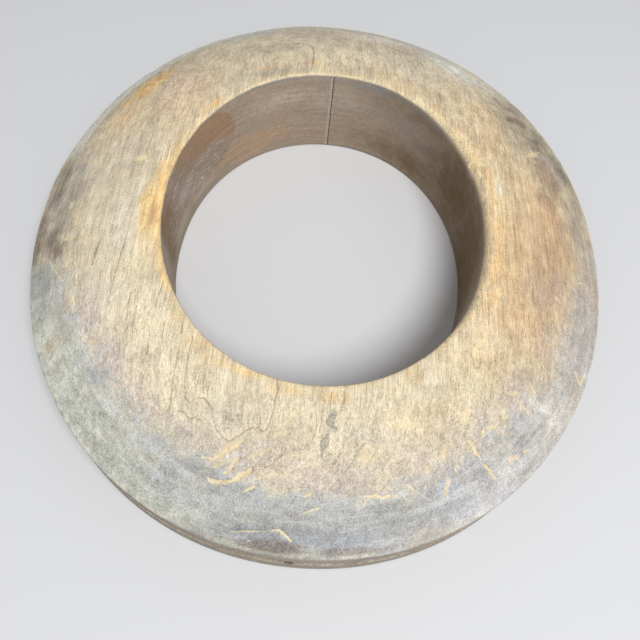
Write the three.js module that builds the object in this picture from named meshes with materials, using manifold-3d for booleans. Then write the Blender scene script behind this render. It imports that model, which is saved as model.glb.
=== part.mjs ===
// Hat block for shaping a brim: an oval wooden ring in two glued and dowelled halves.
// Millimetres, +Z up. X runs left to right, -Y is the front. The origin is on the bench,
// under the middle of the rim.
import * as THREE from 'three';
import { mergeVertices } from 'three/addons/utils/BufferGeometryUtils.js';
import Module from 'manifold-3d';

const wasm = await Module();
wasm.setup();

// Driving sizes of the block
const BLOCK_LENGTH = 350.4;
const BLOCK_WIDTH = 311.4;
const BLOCK_THICKNESS = 57.9;
const HOLE_LENGTH = 197.7;
const HOLE_WIDTH = 166;
const HOLE_FORWARD = 7;
const RIM_HEIGHT = 27.5;
const OVAL_POWER = 2.06;
const DOME_POWER = 1.8;

// Edges and the groove for the tie cord
const LIP_RADIUS = 1.8;
const CORNER_RADIUS = 2.2;
const BASE_RADIUS = 1.5;
const HOLE_BASE_RADIUS = 1;
const GROOVE_RADIUS = 4.5;
const GROOVE_DEPTH = 3;
const GROOVE_HEIGHT = 14.5;

// The joint between the halves
const JOINT_OFFSET = -2;
const GLUE_THICKNESS = 0.5;
const GLUE_FACE_GAP = 0.05;
const DOWELS_PER_BRIDGE = 2;
const DOWEL_DIAMETER = 12;
const DOWEL_LENGTH = 60;
const DOWEL_CHAMFER = 1.2;
const DOWEL_HEIGHT = 21;
const DOWEL_SIDE_GAP = 0.3;
const DOWEL_END_GAP = 0.8;

// Two old iron pins, filed off just under the top face
const PIN_DIAMETER = 2.4;
const PIN_POINT = 4;
const PIN_RECESS = 0.3;
const PIN_SIDE_GAP = 0.3;
const PIN_END_GAP = 0.5;
const PIN_ABOVE_DOWEL = 3;
const PIN_PLACES = {
  iron_pin_inner: { turnFromFront: 5.7, fromLip: 14.4 },
  iron_pin_outer: { turnFromFront: 4.1, fromLip: 24.9 },
};

// Facets
const RING_SEGMENTS = 96;
const DOME_STEPS = 10;
const EDGE_STEPS = 3;
const GROOVE_STEPS = 7;
const DOWEL_SEGMENTS = 24;
const PIN_SEGMENTS = 16;

// Wide enough to hold the whole block on one side of the joint
const CUT_SPAN = BLOCK_LENGTH + BLOCK_WIDTH + BLOCK_THICKNESS;

const finishes = {
  left_plank: new THREE.MeshStandardMaterial({ color: 0xb79a70, roughness: 0.55, metalness: 0 }),
  right_plank: new THREE.MeshStandardMaterial({ color: 0xb4966d, roughness: 0.55, metalness: 0 }),
  glue: new THREE.MeshStandardMaterial({ color: 0x6f6352, roughness: 0.6, metalness: 0 }),
  dowel: new THREE.MeshStandardMaterial({ color: 0xc8ab7c, roughness: 0.7, metalness: 0 }),
  iron: new THREE.MeshStandardMaterial({ color: 0x5c6470, roughness: 0.5, metalness: 0.8 }),
};

function toSolid(geometry) {
  const bare = geometry.clone();
  bare.deleteAttribute('normal');
  bare.deleteAttribute('uv');
  const merged = mergeVertices(bare, 1e-4);
  return new wasm.Manifold(new wasm.Mesh({
    numProp: 3,
    vertProperties: new Float32Array(merged.attributes.position.array),
    triVerts: new Uint32Array(merged.index.array),
  }));
}

function toGeometry(solid) {
  const mesh = solid.getMesh();
  const geometry = new THREE.BufferGeometry();
  geometry.setAttribute('position', new THREE.BufferAttribute(mesh.vertProperties, 3));
  geometry.setIndex(new THREE.BufferAttribute(mesh.triVerts, 1));
  geometry.computeVertexNormals();
  return geometry;
}

function named(name, geometry, material) {
  const mesh = new THREE.Mesh(geometry, material);
  mesh.name = name;
  return mesh;
}

// A point of an oval, slightly squarer than an ellipse, at a turn counted from +X
function ovalPoint(width, length, centreY, turn) {
  const c = Math.cos(turn);
  const s = Math.sin(turn);
  const round = (value) => Math.sign(value) * Math.abs(value) ** (2 / OVAL_POWER);
  return new THREE.Vector2(round(c) * width / 2, centreY + round(s) * length / 2);
}

const holePoint = (turn) => ovalPoint(HOLE_WIDTH, HOLE_LENGTH, -HOLE_FORWARD, turn);
const rimPoint = (turn) => ovalPoint(BLOCK_WIDTH, BLOCK_LENGTH, 0, turn);
const bridgeWidth = (turn) => holePoint(turn).distanceTo(rimPoint(turn));

// The dome meets the rim at this slope, taken across the side bridge
const cornerSlope = Math.atan(DOME_POWER * (BLOCK_THICKNESS - RIM_HEIGHT) / bridgeWidth(0));
const cornerSweep = Math.PI / 2 - cornerSlope;
const rimTop = RIM_HEIGHT - CORNER_RADIUS * Math.tan(cornerSweep / 2);
const domeFoot = rimTop + CORNER_RADIUS * Math.sin(cornerSweep);
const domeInset = CORNER_RADIUS * (1 - Math.cos(cornerSweep));

const domeHeight = (share) => BLOCK_THICKNESS - (BLOCK_THICKNESS - domeFoot) * share ** DOME_POWER;

// The ring's section. Each point lies at share x bridge width + offset from the hole's wall.
function ringSection() {
  const points = [];
  const add = (share, offset, z) => points.push({ share, offset, z });
  const arc = (share, centre, centreZ, radius, from, to, steps) => {
    for (let k = 0; k <= steps; k += 1) {
      const angle = from + (to - from) * k / steps;
      add(share, centre + radius * Math.cos(angle), centreZ + radius * Math.sin(angle));
    }
  };
  const quarter = Math.PI / 2;
  arc(0, LIP_RADIUS, BLOCK_THICKNESS - LIP_RADIUS, LIP_RADIUS, 2 * quarter, quarter, EDGE_STEPS);
  for (let k = 1; k < DOME_STEPS; k += 1) {
    const share = k / DOME_STEPS;
    add(share, LIP_RADIUS * (1 - share) - domeInset * share, domeHeight(share));
  }
  arc(1, -CORNER_RADIUS, rimTop, CORNER_RADIUS, cornerSweep, 0, EDGE_STEPS);
  const grooveCentre = GROOVE_RADIUS - GROOVE_DEPTH;
  const grooveHalf = Math.acos(grooveCentre / GROOVE_RADIUS);
  arc(1, grooveCentre, GROOVE_HEIGHT, GROOVE_RADIUS,
    2 * quarter - grooveHalf, 2 * quarter + grooveHalf, GROOVE_STEPS);
  arc(1, -BASE_RADIUS, BASE_RADIUS, BASE_RADIUS, 0, -quarter, EDGE_STEPS);
  arc(0, HOLE_BASE_RADIUS, HOLE_BASE_RADIUS, HOLE_BASE_RADIUS, -quarter, -2 * quarter, EDGE_STEPS);
  return points;
}

// The whole ring: a turned ring whose section is carried from the hole's oval to the rim's
function ringSolid() {
  const section = ringSection();
  const closed = [...section, section[0]];
  const nominal = bridgeWidth(0);
  const start = HOLE_WIDTH / 2;
  const profile = closed.map((p) => new THREE.Vector2(start + p.share * nominal + p.offset, p.z));
  const ring = new THREE.LatheGeometry(profile, RING_SEGMENTS);
  const position = ring.attributes.position;
  for (let i = 0; i <= RING_SEGMENTS; i += 1) {
    const turn = -(i % RING_SEGMENTS) * 2 * Math.PI / RING_SEGMENTS;
    const hole = holePoint(turn);
    const rim = rimPoint(turn);
    const width = hole.distanceTo(rim);
    closed.forEach((p, j) => {
      const share = (p.share * width + p.offset) / width;
      const place = hole.clone().lerp(rim, share);
      position.setXYZ(i * closed.length + j, place.x, place.y, p.z);
    });
  }
  return toSolid(ring);
}

function boxSolid(width, length, height, x, y, z) {
  return toSolid(new THREE.BoxGeometry(width, length, height).translate(x, y, z));
}

// Joint, dowel rows and their holes
const jointHalf = GLUE_THICKNESS / 2 + GLUE_FACE_GAP;
const jointLeft = JOINT_OFFSET - jointHalf;
const jointRight = JOINT_OFFSET + jointHalf;
const bridges = {
  back: { from: holePoint(Math.PI / 2).y, to: rimPoint(Math.PI / 2).y },
  front: { from: holePoint(-Math.PI / 2).y, to: rimPoint(-Math.PI / 2).y },
};

const dowels = Object.entries(bridges).flatMap(([end, bridge]) => {
  const rows = ['inner', 'outer'];
  return Array.from({ length: DOWELS_PER_BRIDGE }, (_, k) => ({
    name: `dowel_${end}_${rows[k] ?? k + 1}`,
    y: bridge.from + (bridge.to - bridge.from) * (k + 0.5) / DOWELS_PER_BRIDGE,
  }));
});

function dowelHole(y) {
  const radius = DOWEL_DIAMETER / 2 + DOWEL_SIDE_GAP;
  const length = DOWEL_LENGTH + 2 * DOWEL_END_GAP;
  const hole = new THREE.CylinderGeometry(radius, radius, length, DOWEL_SEGMENTS);
  return toSolid(hole.rotateZ(Math.PI / 2).translate(JOINT_OFFSET, y, DOWEL_HEIGHT));
}

function dowelGeometry() {
  const radius = DOWEL_DIAMETER / 2;
  const end = DOWEL_LENGTH / 2;
  return new THREE.LatheGeometry([
    new THREE.Vector2(0, -end),
    new THREE.Vector2(radius - DOWEL_CHAMFER, -end),
    new THREE.Vector2(radius, -end + DOWEL_CHAMFER),
    new THREE.Vector2(radius, end - DOWEL_CHAMFER),
    new THREE.Vector2(radius - DOWEL_CHAMFER, end),
    new THREE.Vector2(0, end),
  ], DOWEL_SEGMENTS);
}

// Pins and their holes, in the top face of the right half
const pinFoot = DOWEL_HEIGHT + DOWEL_DIAMETER / 2 + DOWEL_SIDE_GAP + PIN_ABOVE_DOWEL;

const pins = Object.entries(PIN_PLACES).map(([name, place]) => {
  const turn = -Math.PI / 2 + THREE.MathUtils.degToRad(place.turnFromFront);
  const share = place.fromLip / bridgeWidth(turn);
  const point = holePoint(turn).lerp(rimPoint(turn), share);
  return { name, x: point.x, y: point.y, top: domeHeight(share) };
});

function pinHole(pin) {
  const radius = PIN_DIAMETER / 2 + PIN_SIDE_GAP;
  const bottom = pinFoot - PIN_END_GAP;
  const height = BLOCK_THICKNESS - bottom;
  const hole = new THREE.CylinderGeometry(radius, radius, height, PIN_SEGMENTS);
  return toSolid(hole.rotateX(Math.PI / 2).translate(pin.x, pin.y, bottom + height / 2));
}

function pinGeometry(length) {
  const radius = PIN_DIAMETER / 2;
  return new THREE.LatheGeometry([
    new THREE.Vector2(0, 0),
    new THREE.Vector2(radius, PIN_POINT),
    new THREE.Vector2(radius, length),
    new THREE.Vector2(0, length),
  ], PIN_SEGMENTS);
}

// The two halves and the glue between them
const ring = ringSolid();
const dowelHoles = dowels.map((dowel) => dowelHole(dowel.y));
const withoutDowelHoles = (solid) => dowelHoles.reduce((rest, hole) => rest.subtract(hole), solid);

function leftHalf() {
  const side = boxSolid(CUT_SPAN, CUT_SPAN, CUT_SPAN, jointLeft - CUT_SPAN / 2, 0, 0);
  return toGeometry(withoutDowelHoles(ring.intersect(side)));
}

function rightHalf() {
  const side = boxSolid(CUT_SPAN, CUT_SPAN, CUT_SPAN, jointRight + CUT_SPAN / 2, 0, 0);
  const plank = withoutDowelHoles(ring.intersect(side));
  return toGeometry(pins.reduce((rest, pin) => rest.subtract(pinHole(pin)), plank));
}

function glueLine(direction) {
  const middle = -HOLE_FORWARD + direction * CUT_SPAN / 2;
  const slab = boxSolid(GLUE_THICKNESS, CUT_SPAN, CUT_SPAN, JOINT_OFFSET, middle, 0);
  return toGeometry(withoutDowelHoles(ring.intersect(slab)));
}

const block = new THREE.Group();
block.add(named('left_half', leftHalf(), finishes.left_plank));
block.add(named('right_half', rightHalf(), finishes.right_plank));

const joint = new THREE.Group();
joint.add(named('glue_line_back', glueLine(1), finishes.glue));
joint.add(named('glue_line_front', glueLine(-1), finishes.glue));
for (const dowel of dowels) {
  const peg = named(dowel.name, dowelGeometry(), finishes.dowel);
  peg.rotation.z = Math.PI / 2;
  peg.position.set(JOINT_OFFSET, dowel.y, DOWEL_HEIGHT);
  joint.add(peg);
}
block.add(joint);

for (const pin of pins) {
  const shank = named(pin.name, pinGeometry(pin.top - PIN_RECESS - pinFoot), finishes.iron);
  shank.rotation.x = Math.PI / 2;
  shank.position.set(pin.x, pin.y, pinFoot);
  block.add(shank);
}

export default block;
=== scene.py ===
# Hat block for shaping a brim: an oval wooden ring in two glued and dowelled halves.
import math

import bpy
import numpy as np
from mathutils import Matrix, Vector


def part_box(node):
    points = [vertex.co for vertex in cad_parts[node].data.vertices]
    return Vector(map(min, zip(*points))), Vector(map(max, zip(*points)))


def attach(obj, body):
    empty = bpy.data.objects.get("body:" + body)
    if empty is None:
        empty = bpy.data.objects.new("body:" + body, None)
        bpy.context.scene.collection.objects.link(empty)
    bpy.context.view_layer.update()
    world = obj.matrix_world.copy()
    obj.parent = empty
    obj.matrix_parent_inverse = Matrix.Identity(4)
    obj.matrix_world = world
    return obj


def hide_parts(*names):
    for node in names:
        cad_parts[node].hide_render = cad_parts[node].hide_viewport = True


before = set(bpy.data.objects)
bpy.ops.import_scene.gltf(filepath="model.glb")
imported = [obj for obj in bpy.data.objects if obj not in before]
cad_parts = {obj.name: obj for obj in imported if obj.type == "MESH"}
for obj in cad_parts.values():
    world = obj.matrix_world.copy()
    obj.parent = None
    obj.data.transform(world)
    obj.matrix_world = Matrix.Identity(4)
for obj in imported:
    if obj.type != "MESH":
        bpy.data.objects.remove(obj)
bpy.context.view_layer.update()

MM = 0.001
TURN = 2 * math.pi
MERGE_DISTANCE = 1e-6

# The block's sizes in millimetres, as in the part's source
BLOCK_LENGTH = 350.4
BLOCK_WIDTH = 311.4
BLOCK_THICKNESS = 57.9
HOLE_LENGTH = 197.7
HOLE_WIDTH = 166
HOLE_FORWARD = 7
RIM_HEIGHT = 27.5
OVAL_POWER = 2.06
DOME_POWER = 1.8
LIP_RADIUS = 1.8
CORNER_RADIUS = 2.2
BASE_RADIUS = 1.5
HOLE_BASE_RADIUS = 1
GROOVE_RADIUS = 4.5
GROOVE_DEPTH = 3
GROOVE_HEIGHT = 14.5
JOINT_OFFSET = -2
GLUE_THICKNESS = 0.5
GLUE_FACE_GAP = 0.05
DOWEL_RADIUS = 6
DOWEL_SIDE_GAP = 0.3
DOWEL_END_GAP = 0.8
PIN_RADIUS = 1.2
PIN_SIDE_GAP = 0.3
PIN_END_GAP = 0.5

# The joint: half its saw cut, how far a point may lie off the sawn face, and the gap between glue and half
JOINT_HALF = GLUE_THICKNESS / 2 + GLUE_FACE_GAP
SAW_SLACK = 0.0005
FILM_GAP = 0.01

# The pins: the head's burr, rise, crown (inset and rise of each step) and drop, the point's length and end
PIN_BURR = 0.26
PIN_HEAD_RISE = 0.5
PIN_CROWN = [(0.3, 0.02), (0.4, 0.04), (0.4, 0.02)]
PIN_HEAD_DROP = 0.12
PIN_POINT = 4
PIN_POINT_SHARE = 0.12

DOWELS = ["dowel_back_inner", "dowel_back_outer", "dowel_front_inner", "dowel_front_outer"]
PINS = ["iron_pin_inner", "iron_pin_outer"]
BORE_SIDES = 48
PIN_SIDES = 32

# What hand turning and long use have taken off: the depth, and the width of the hollows
UNEVEN_DEPTH = 0.3
UNEVEN_SIZE = 38

# Where the outer edge at the back left is rubbed down to a flat, as angles round the block
RUBBED_START = 96
RUBBED_END = 172
RUBBED_DEPTH = 0.8
RUBBED_SHARE = 0.84
RUBBED_RISE = 0.03

# The lip's wear at the right: its radius there and elsewhere, the angles it runs between, and its reach
WORN_LIP = 7.5
WORN_LIP_END = 2.2
WORN_LIP_ANGLES = (-62, -18, 28, 70)
LIP_REACH = 1.9

# The short slot in the groove at the front: middle x and z, half sizes, depth
SLOT = (-2.4, 11.4, 2.1, 1.1, 1.6)
# The notch in the lip at the left: middle x and y, half width, depth, and how much longer than wide it is
NOTCH = (-82.2, -23.6, 3.5, 0.5, 1.4)

# Where the tones turn from the dome to the lip and the wall, as the share of a face that looks into the hole
WALL_TURNED = (0.72, 0.97)
LIP_TURNED = (0.12, 0.4, 0.8, 0.97)
INSIDE_SHARE = 0.12
REFINE_MARGIN = 1.5

# How finely the ring is turned
AROUND = 720
WALL_STEPS = 42
DOME_STEPS = 66
ARC_STEPS = 5
RIM_TOP_STEPS = 6
GROOVE_STEPS = 14
RIM_FOOT_STEPS = 8
UNDERSIDE_STEPS = 20


def oval(width, length, centre_y, turn):
    """Points of an oval, slightly squarer than an ellipse, at turns counted from +X."""
    c = np.cos(turn)
    s = np.sin(turn)
    x = np.sign(c) * np.abs(c) ** (2 / OVAL_POWER) * width / 2
    y = np.sign(s) * np.abs(s) ** (2 / OVAL_POWER) * length / 2 + centre_y
    return np.stack([x, y], axis=-1)


SIDE_BRIDGE = (BLOCK_WIDTH - HOLE_WIDTH) / 2
NOMINAL_BRIDGE = math.hypot(SIDE_BRIDGE, HOLE_FORWARD)
CORNER_SLOPE = math.atan(DOME_POWER * (BLOCK_THICKNESS - RIM_HEIGHT) / NOMINAL_BRIDGE)
CORNER_SWEEP = math.pi / 2 - CORNER_SLOPE
RIM_TOP = RIM_HEIGHT - CORNER_RADIUS * math.tan(CORNER_SWEEP / 2)
DOME_FOOT = RIM_TOP + CORNER_RADIUS * math.sin(CORNER_SWEEP)
DOME_INSET = CORNER_RADIUS * (1 - math.cos(CORNER_SWEEP))


def ring_section():
    """The ring's section from the lip over the dome: each point's share of the bridge, offset and height."""
    points = []

    def arc(share, centre, height, radius, start, end, steps):
        for k in range(steps + 1):
            angle = start + (end - start) * k / steps
            points.append((share, centre + radius * math.cos(angle), height + radius * math.sin(angle)))

    def straight(share, offset, start, end, steps):
        for k in range(1, steps):
            points.append((share, offset, start + (end - start) * k / steps))

    quarter = math.pi / 2
    arc(0, LIP_RADIUS, BLOCK_THICKNESS - LIP_RADIUS, LIP_RADIUS, 2 * quarter, quarter, ARC_STEPS)
    for k in range(1, DOME_STEPS):
        share = k / DOME_STEPS
        height = BLOCK_THICKNESS - (BLOCK_THICKNESS - DOME_FOOT) * share ** DOME_POWER
        points.append((share, LIP_RADIUS * (1 - share) - DOME_INSET * share, height))
    arc(1, -CORNER_RADIUS, RIM_TOP, CORNER_RADIUS, CORNER_SWEEP, 0, ARC_STEPS)
    groove_centre = GROOVE_RADIUS - GROOVE_DEPTH
    groove_half = math.acos(groove_centre / GROOVE_RADIUS)
    groove_reach = GROOVE_RADIUS * math.sin(groove_half)
    straight(1, 0, RIM_TOP, GROOVE_HEIGHT + groove_reach, RIM_TOP_STEPS)
    arc(1, groove_centre, GROOVE_HEIGHT, GROOVE_RADIUS,
        2 * quarter - groove_half, 2 * quarter + groove_half, GROOVE_STEPS)
    straight(1, 0, GROOVE_HEIGHT - groove_reach, BASE_RADIUS, RIM_FOOT_STEPS)
    arc(1, -BASE_RADIUS, BASE_RADIUS, BASE_RADIUS, 0, -quarter, ARC_STEPS)
    for k in range(1, UNDERSIDE_STEPS):
        share = 1 - k / UNDERSIDE_STEPS
        points.append((share, HOLE_BASE_RADIUS * (1 - share) - BASE_RADIUS * share, 0))
    arc(0, HOLE_BASE_RADIUS, HOLE_BASE_RADIUS, HOLE_BASE_RADIUS, -quarter, -2 * quarter, ARC_STEPS)
    straight(0, 0, HOLE_BASE_RADIUS, BLOCK_THICKNESS - LIP_RADIUS, WALL_STEPS)
    return points


# Marks on the dome in millimetres, as paths in plan. Each kind has its own colour and depth.
# kind, width, depth, path
MARKS = [
    # Growth lines of the left half, in front of the hole
    ("growth", 0.7, 0.1, [(-55.5, -88), (-56, -100), (-55.9, -110), (-54.6, -116), (-52.5, -118.2),
        (-50.5, -117), (-48, -115.8), (-46, -116.3), (-43.6, -118.6), (-42, -122), (-40.4, -126),
        (-38.6, -129.5), (-36, -131.8), (-33, -133), (-30, -131.4), (-27, -129)]),
    ("growth", 1.0, 0.12, [(-27, -129), (-24, -127.6), (-21, -127), (-18.8, -128.6), (-17.4, -127),
        (-16, -123), (-15.2, -118), (-14.7, -110), (-15.3, -103)]),
    ("growth", 0.45, 0.05, [(3, -117), (3.8, -125), (2.8, -129.5), (1.5, -132), (-1, -134.2),
        (-5, -134.8), (-9, -136.5), (-12, -139), (-14, -141.5), (-18, -142.2), (-26, -142.2)]),
    ("growth", 0.5, 0.06, [(6, -112), (5.8, -122), (5, -127)]),
    ("growth", 0.5, 0.06, [(9.2, -108), (9, -117)]),
    ("growth", 0.5, 0.06, [(-50, -108), (-50.3, -114)]),
    ("growth", 0.5, 0.06, [(-47.2, -106), (-47, -114)]),
    ("growth", 0.5, 0.06, [(-45, -111), (-45, -115)]),
    ("growth", 0.6, 0.06, [(-28, -126), (-27.6, -129)]),
    ("growth", 0.6, 0.06, [(-23.5, -121), (-23.3, -127)]),
    ("growth", 0.6, 0.06, [(-20.8, -120), (-20.5, -127)]),
    ("growth", 0.6, 0.06, [(-60.5, -95), (-61.2, -108), (-60.8, -121)]),
    ("growth", 0.8, 0.04, [(-60, -122.5), (-56, -121.5), (-52, -124), (-47, -125)]),
    # Diagonal growth lines of the right half
    ("growth", 0.5, 0.06, [(26, -128.5), (23, -132), (20, -138), (16, -144), (13, -147)]),
    ("growth", 0.5, 0.05, [(15.5, -134), (11, -141), (9, -145)]),
    # The growth line behind the hole
    ("growth", 0.7, 0.08, [(-53, 99), (-53, 107.6), (-51.6, 115.5), (-47.4, 117.4), (-43, 119)]),
    ("growth", 1.5, 0.14, [(-43, 119), (-37.3, 121.7), (-31.3, 123.5), (-24.6, 124.2), (-19.4, 122.8),
        (-16.6, 119), (-15.6, 111), (-15.6, 100.2), (-16.2, 94.3)]),
    ("growth", 0.7, 0.08, [(-45, 108), (-46.1, 101.4)]),
    ("growth", 0.5, 0.06, [(22.5, 147.3), (22.5, 118.1)]),
    ("growth", 0.6, 0.06, [(34, 137), (34.1, 99)]),
    ("growth", 0.5, 0.06, [(12.4, 131.4), (13.8, 110.3)]),
    # Short growth lines left of the hole
    ("growth", 0.6, 0.1, [(-96.9, -36.2), (-97.8, -46.5), (-98.5, -54.7), (-98.8, -67.7),
        (-99.1, -71.2)]),
    ("growth", 0.8, 0.12, [(-88.4, -67.3), (-88.6, -73.4), (-88.1, -80.8)]),
    ("growth", 0.6, 0.08, [(-84.2, -73.5), (-84, -87.1)]),
    ("growth", 0.6, 0.08, [(-74.1, -61.2), (-74.9, -69.2)]),
    ("growth", 0.7, 0.08, [(-61, -79.3), (-60.9, -87)]),
    ("growth", 0.6, 0.08, [(-69.5, -80.8), (-69, -97.5)]),
    ("growth", 0.5, 0.06, [(-76.1, -83.4), (-74.7, -99.7)]),
    ("growth", 0.5, 0.06, [(-64.2, -92.8), (-62.9, -106.4)]),
    ("growth", 1.4, 0.08, [(-111.1, -36.6), (-112.1, -50.5)]),
    ("growth", 0.6, 0.08, [(-86.8, 24.8), (-86.8, 13.9)]),
    ("growth", 0.6, 0.08, [(-77.9, 36), (-78.2, 22)]),
    # Gouges down to fresh wood, in front of the hole
    ("fresh", 4.2, 0.35, [(-38.5, -140), (-33, -136.5), (-27, -132)]),
    ("fresh", 2.6, 0.4, [(-33.5, -145.8), (-30.5, -142), (-28, -139)]),
    ("fresh", 2.4, 0.5, [(-41, -147), (-38, -149), (-33, -148.6), (-29.5, -148.2)]),
    ("fresh", 3.4, 0.6, [(-30, -148), (-26, -145.6), (-22, -143.2)]),
    ("fresh", 1.5, 0.4, [(-25, -152), (-22, -150.6), (-19, -149)]),
    ("fresh", 1.6, 0.3, [(-44, -139.4), (-40.5, -139.8), (-37, -141)]),
    ("fresh", 3.0, 0.1, [(-36, -134.4), (-28, -130)]),
    ("fresh", 2.2, 0.15, [(-24, -139), (-15, -135)]),
    ("fresh", 2.2, 0.15, [(-40, -143.5), (-33, -141)]),
    ("fresh", 1.6, 0.2, [(-20, -147), (-11, -144)]),
    ("fresh", 2.6, 0.1, [(-16, -131), (-7, -127)]),
    ("fresh", 1.8, 0.1, [(-2, -141), (7, -139)]),
    ("fresh", 1.0, 0.2, [(-36, -141), (-31, -140.2), (-27, -140)]),
    ("fresh", 2.4, 0.1, [(-11, -125.5), (-5, -119.5), (2, -114.5)]),
    ("fresh", 1.6, 0.15, [(-9, -138), (-4, -136.6), (2, -135.5)]),
    ("fresh", 3.0, 0.15, [(-9, -145), (-6, -143.6)]),
    ("fresh", 1.6, 0.3, [(-3, -149.8), (0, -149)]),
    ("fresh", 1.8, 0.3, [(1, -152), (4.5, -150.6)]),
    ("fresh", 1.0, 0.3, [(-1, -159.2), (5, -156.8), (11.5, -154.6)]),
    ("fresh", 0.9, 0.3, [(-29, -166.8), (-22, -166.4), (-13, -165.8)]),
    ("fresh", 2.0, 0.7, [(-12, -165.4), (-8, -165), (-5, -166.6), (-2, -169)]),
    ("fresh", 6.5, 0.12, [(27, -130.5), (25.5, -136.5)]),
    ("fresh", 2.6, 0.15, [(38, -120.6), (43, -119.4), (47, -120.6)]),
    ("fresh", 1.9, 0.5, [(27, -149.6), (30, -149.4), (32.5, -148.4), (35, -149.2), (38, -148.2),
        (42.6, -147.6)]),
    ("fresh", 1.6, 0.3, [(45, -142.6), (49, -144.8)]),
    ("fresh", 1.4, 0.2, [(27.5, -144.5), (31, -146)]),
    ("fresh", 4.6, 0.2, [(70.3, -110), (70.3, -113.6)]),
    ("fresh", 4.0, 0.25, [(60.8, -126.4), (60.8, -129.4)]),
    ("fresh", 2.2, 0.35, [(79.9, -115), (79.5, -119.4)]),
    ("fresh", 3.0, 0.3, [(81.6, -114.4), (84.8, -113.6)]),
    ("fresh", 2.6, 0.2, [(89.6, -108.6), (91.6, -107.8)]),
    ("fresh", 2.4, 0.45, [(71.9, -121.2), (75.6, -124), (78.9, -127.6)]),
    ("fresh", 2.8, 0.6, [(80.6, -129.4), (84.6, -131.6), (88.4, -134.6)]),
    ("fresh", 3.2, 0.35, [(94.6, -125), (98, -123.6)]),
    ("fresh", 2.4, 0.3, [(102.3, -120), (104, -119.2)]),
    ("fresh", 3.6, 0.3, [(64.3, -139), (63.8, -143.8)]),
    ("fresh", 2.4, 0.3, [(53.8, -134.8), (54.2, -137.2)]),
    ("fresh", 3.0, 0.25, [(90.1, -97.4), (93.6, -97), (96.6, -95.9)]),
    ("fresh", 2.2, 0.3, [(103.8, -90.9), (106.8, -94.3)]),
    ("fresh", 3.2, 0.2, [(99, -99.8), (99, -102.4)]),
    ("fresh", 1.8, 0.4, [(130.5, -74.4), (135.4, -81), (139, -74.4)]),
    # Dings and gouges left of the hole
    ("fresh", 6.6, 0.45, [(-100.6, 14.6), (-99.4, 16)]),
    ("fresh", 0.9, 0.25, [(-144, 21.6), (-142.4, 27), (-139, 29.2), (-133.7, 29.4), (-126.4, 30.6)]),
    ("fresh", 0.7, 0.2, [(-115.6, 22.1), (-110.4, 20.1), (-107.4, 21.9)]),
    ("fresh", 0.9, 0.2, [(-143.9, -10.8), (-140.4, -1.2)]),
    ("fresh", 1.1, 0.35, [(-140, -40.4), (-135.7, -46.7), (-129.5, -53.6), (-124, -59.1)]),
    ("fresh", 1.2, 0.3, [(-120.1, -51.9), (-117.4, -60.5)]),
    ("fresh", 1.1, 0.3, [(-118.9, -66.2), (-115.9, -71.7)]),
    ("fresh", 3.6, 0.25, [(-131.8, 22.4), (-131.2, 18.6)]),
    ("fresh", 3.4, 0.3, [(-134.9, -8), (-134.5, -11)]),
    ("fresh", 4.4, 0.15, [(-129.4, -15), (-128.4, -23)]),
    ("fresh", 3.4, 0.3, [(-131.6, -31.6), (-127.4, -32.8)]),
    ("fresh", 3.0, 0.1, [(-103.4, -89.9), (-100.4, -90.5)]),
    # Dings behind the hole and on the right
    ("fresh", 1.6, 0.2, [(-135.4, 51.5), (-126.4, 54.5)]),
    ("fresh", 1.8, 0.2, [(-115.6, 38.4), (-110.9, 48.4)]),
    ("fresh", 1.0, 0.2, [(-76.5, 104.4), (-71.1, 94.3)]),
    ("fresh", 1.0, 0.2, [(-72.6, 103.5), (-75.4, 95)]),
    ("fresh", 1.0, 0.2, [(121, 60.4), (125.4, 66)]),
    ("fresh", 1.0, 0.25, [(76.8, 34.8), (79, 36.6), (82.3, 37.2)]),
    ("fresh", 1.8, 0.3, [(83.9, 33), (84.9, 33)]),
    ("fresh", 1.4, 0.3, [(136.7, -26.4), (143.1, -23.3)]),
    ("fresh", 2.4, 0.2, [(121, -41.6), (122, -42.6)]),
    ("fresh", 2.6, 0.2, [(105.2, -68), (106, -68.8)]),
    ("fresh", 2.4, 0.2, [(111, -79.6), (111.6, -80.4)]),
    ("fresh", 2.2, 0.2, [(114.1, -67.8), (114.9, -68.6)]),
    # White scratches and flecks
    ("chalk", 0.5, 0.1, [(-66, -140), (-57, -139), (-48, -138.4)]),
    ("chalk", 0.7, 0.15, [(-47, -139.6), (-40, -140.2)]),
    ("chalk", 1.0, 0.2, [(-122.6, -57.8), (-121, -52.8), (-120.7, -49.5)]),
    ("chalk", 0.6, 0.15, [(-153.2, -13.6), (-147.9, -19)]),
    ("chalk", 0.8, 0.2, [(49.2, -144.8), (53, -146.2), (57, -147.6)]),
    ("chalk", 0.7, 0.15, [(82.4, -119.3), (89.9, -121.1), (97.8, -123.7)]),
    ("chalk", 0.8, 0.05, [(104, -98.2), (109, -100), (114.9, -102.5)]),
    ("chalk", 0.5, 0.1, [(112.9, -99.5), (118.2, -104.7), (123.1, -110.1)]),
    ("chalk", 0.5, 0.1, [(105.7, 96.9), (119.4, 90.8), (131.2, 80.8)]),
    ("chalk", 0.4, 0.06, [(56.2, -143.5), (64, -146), (71.2, -147.2)]),
    ("chalk", 0.4, 0.06, [(75.3, -140.7), (88, -148), (100, -154.4)]),
    ("chalk", 1.0, 0.15, [(-118.4, -104.4), (-117.8, -104.4)]),
    ("chalk", 1.0, 0.15, [(-55.9, -161.4), (-55.3, -161.4)]),
    ("chalk", 1.0, 0.15, [(-97.2, -136.7), (-96.8, -136.7)]),
    ("chalk", 1.0, 0.15, [(-80.7, -137.3), (-80.3, -137.3)]),
    ("chalk", 1.0, 0.15, [(-28.5, -160.3), (-28.1, -160.3)]),
    ("chalk", 1.1, 0.15, [(-20.8, -169.8), (-20, -169.9)]),
    ("chalk", 1.4, 0.2, [(-5.4, 97), (-5, 99)]),
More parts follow.
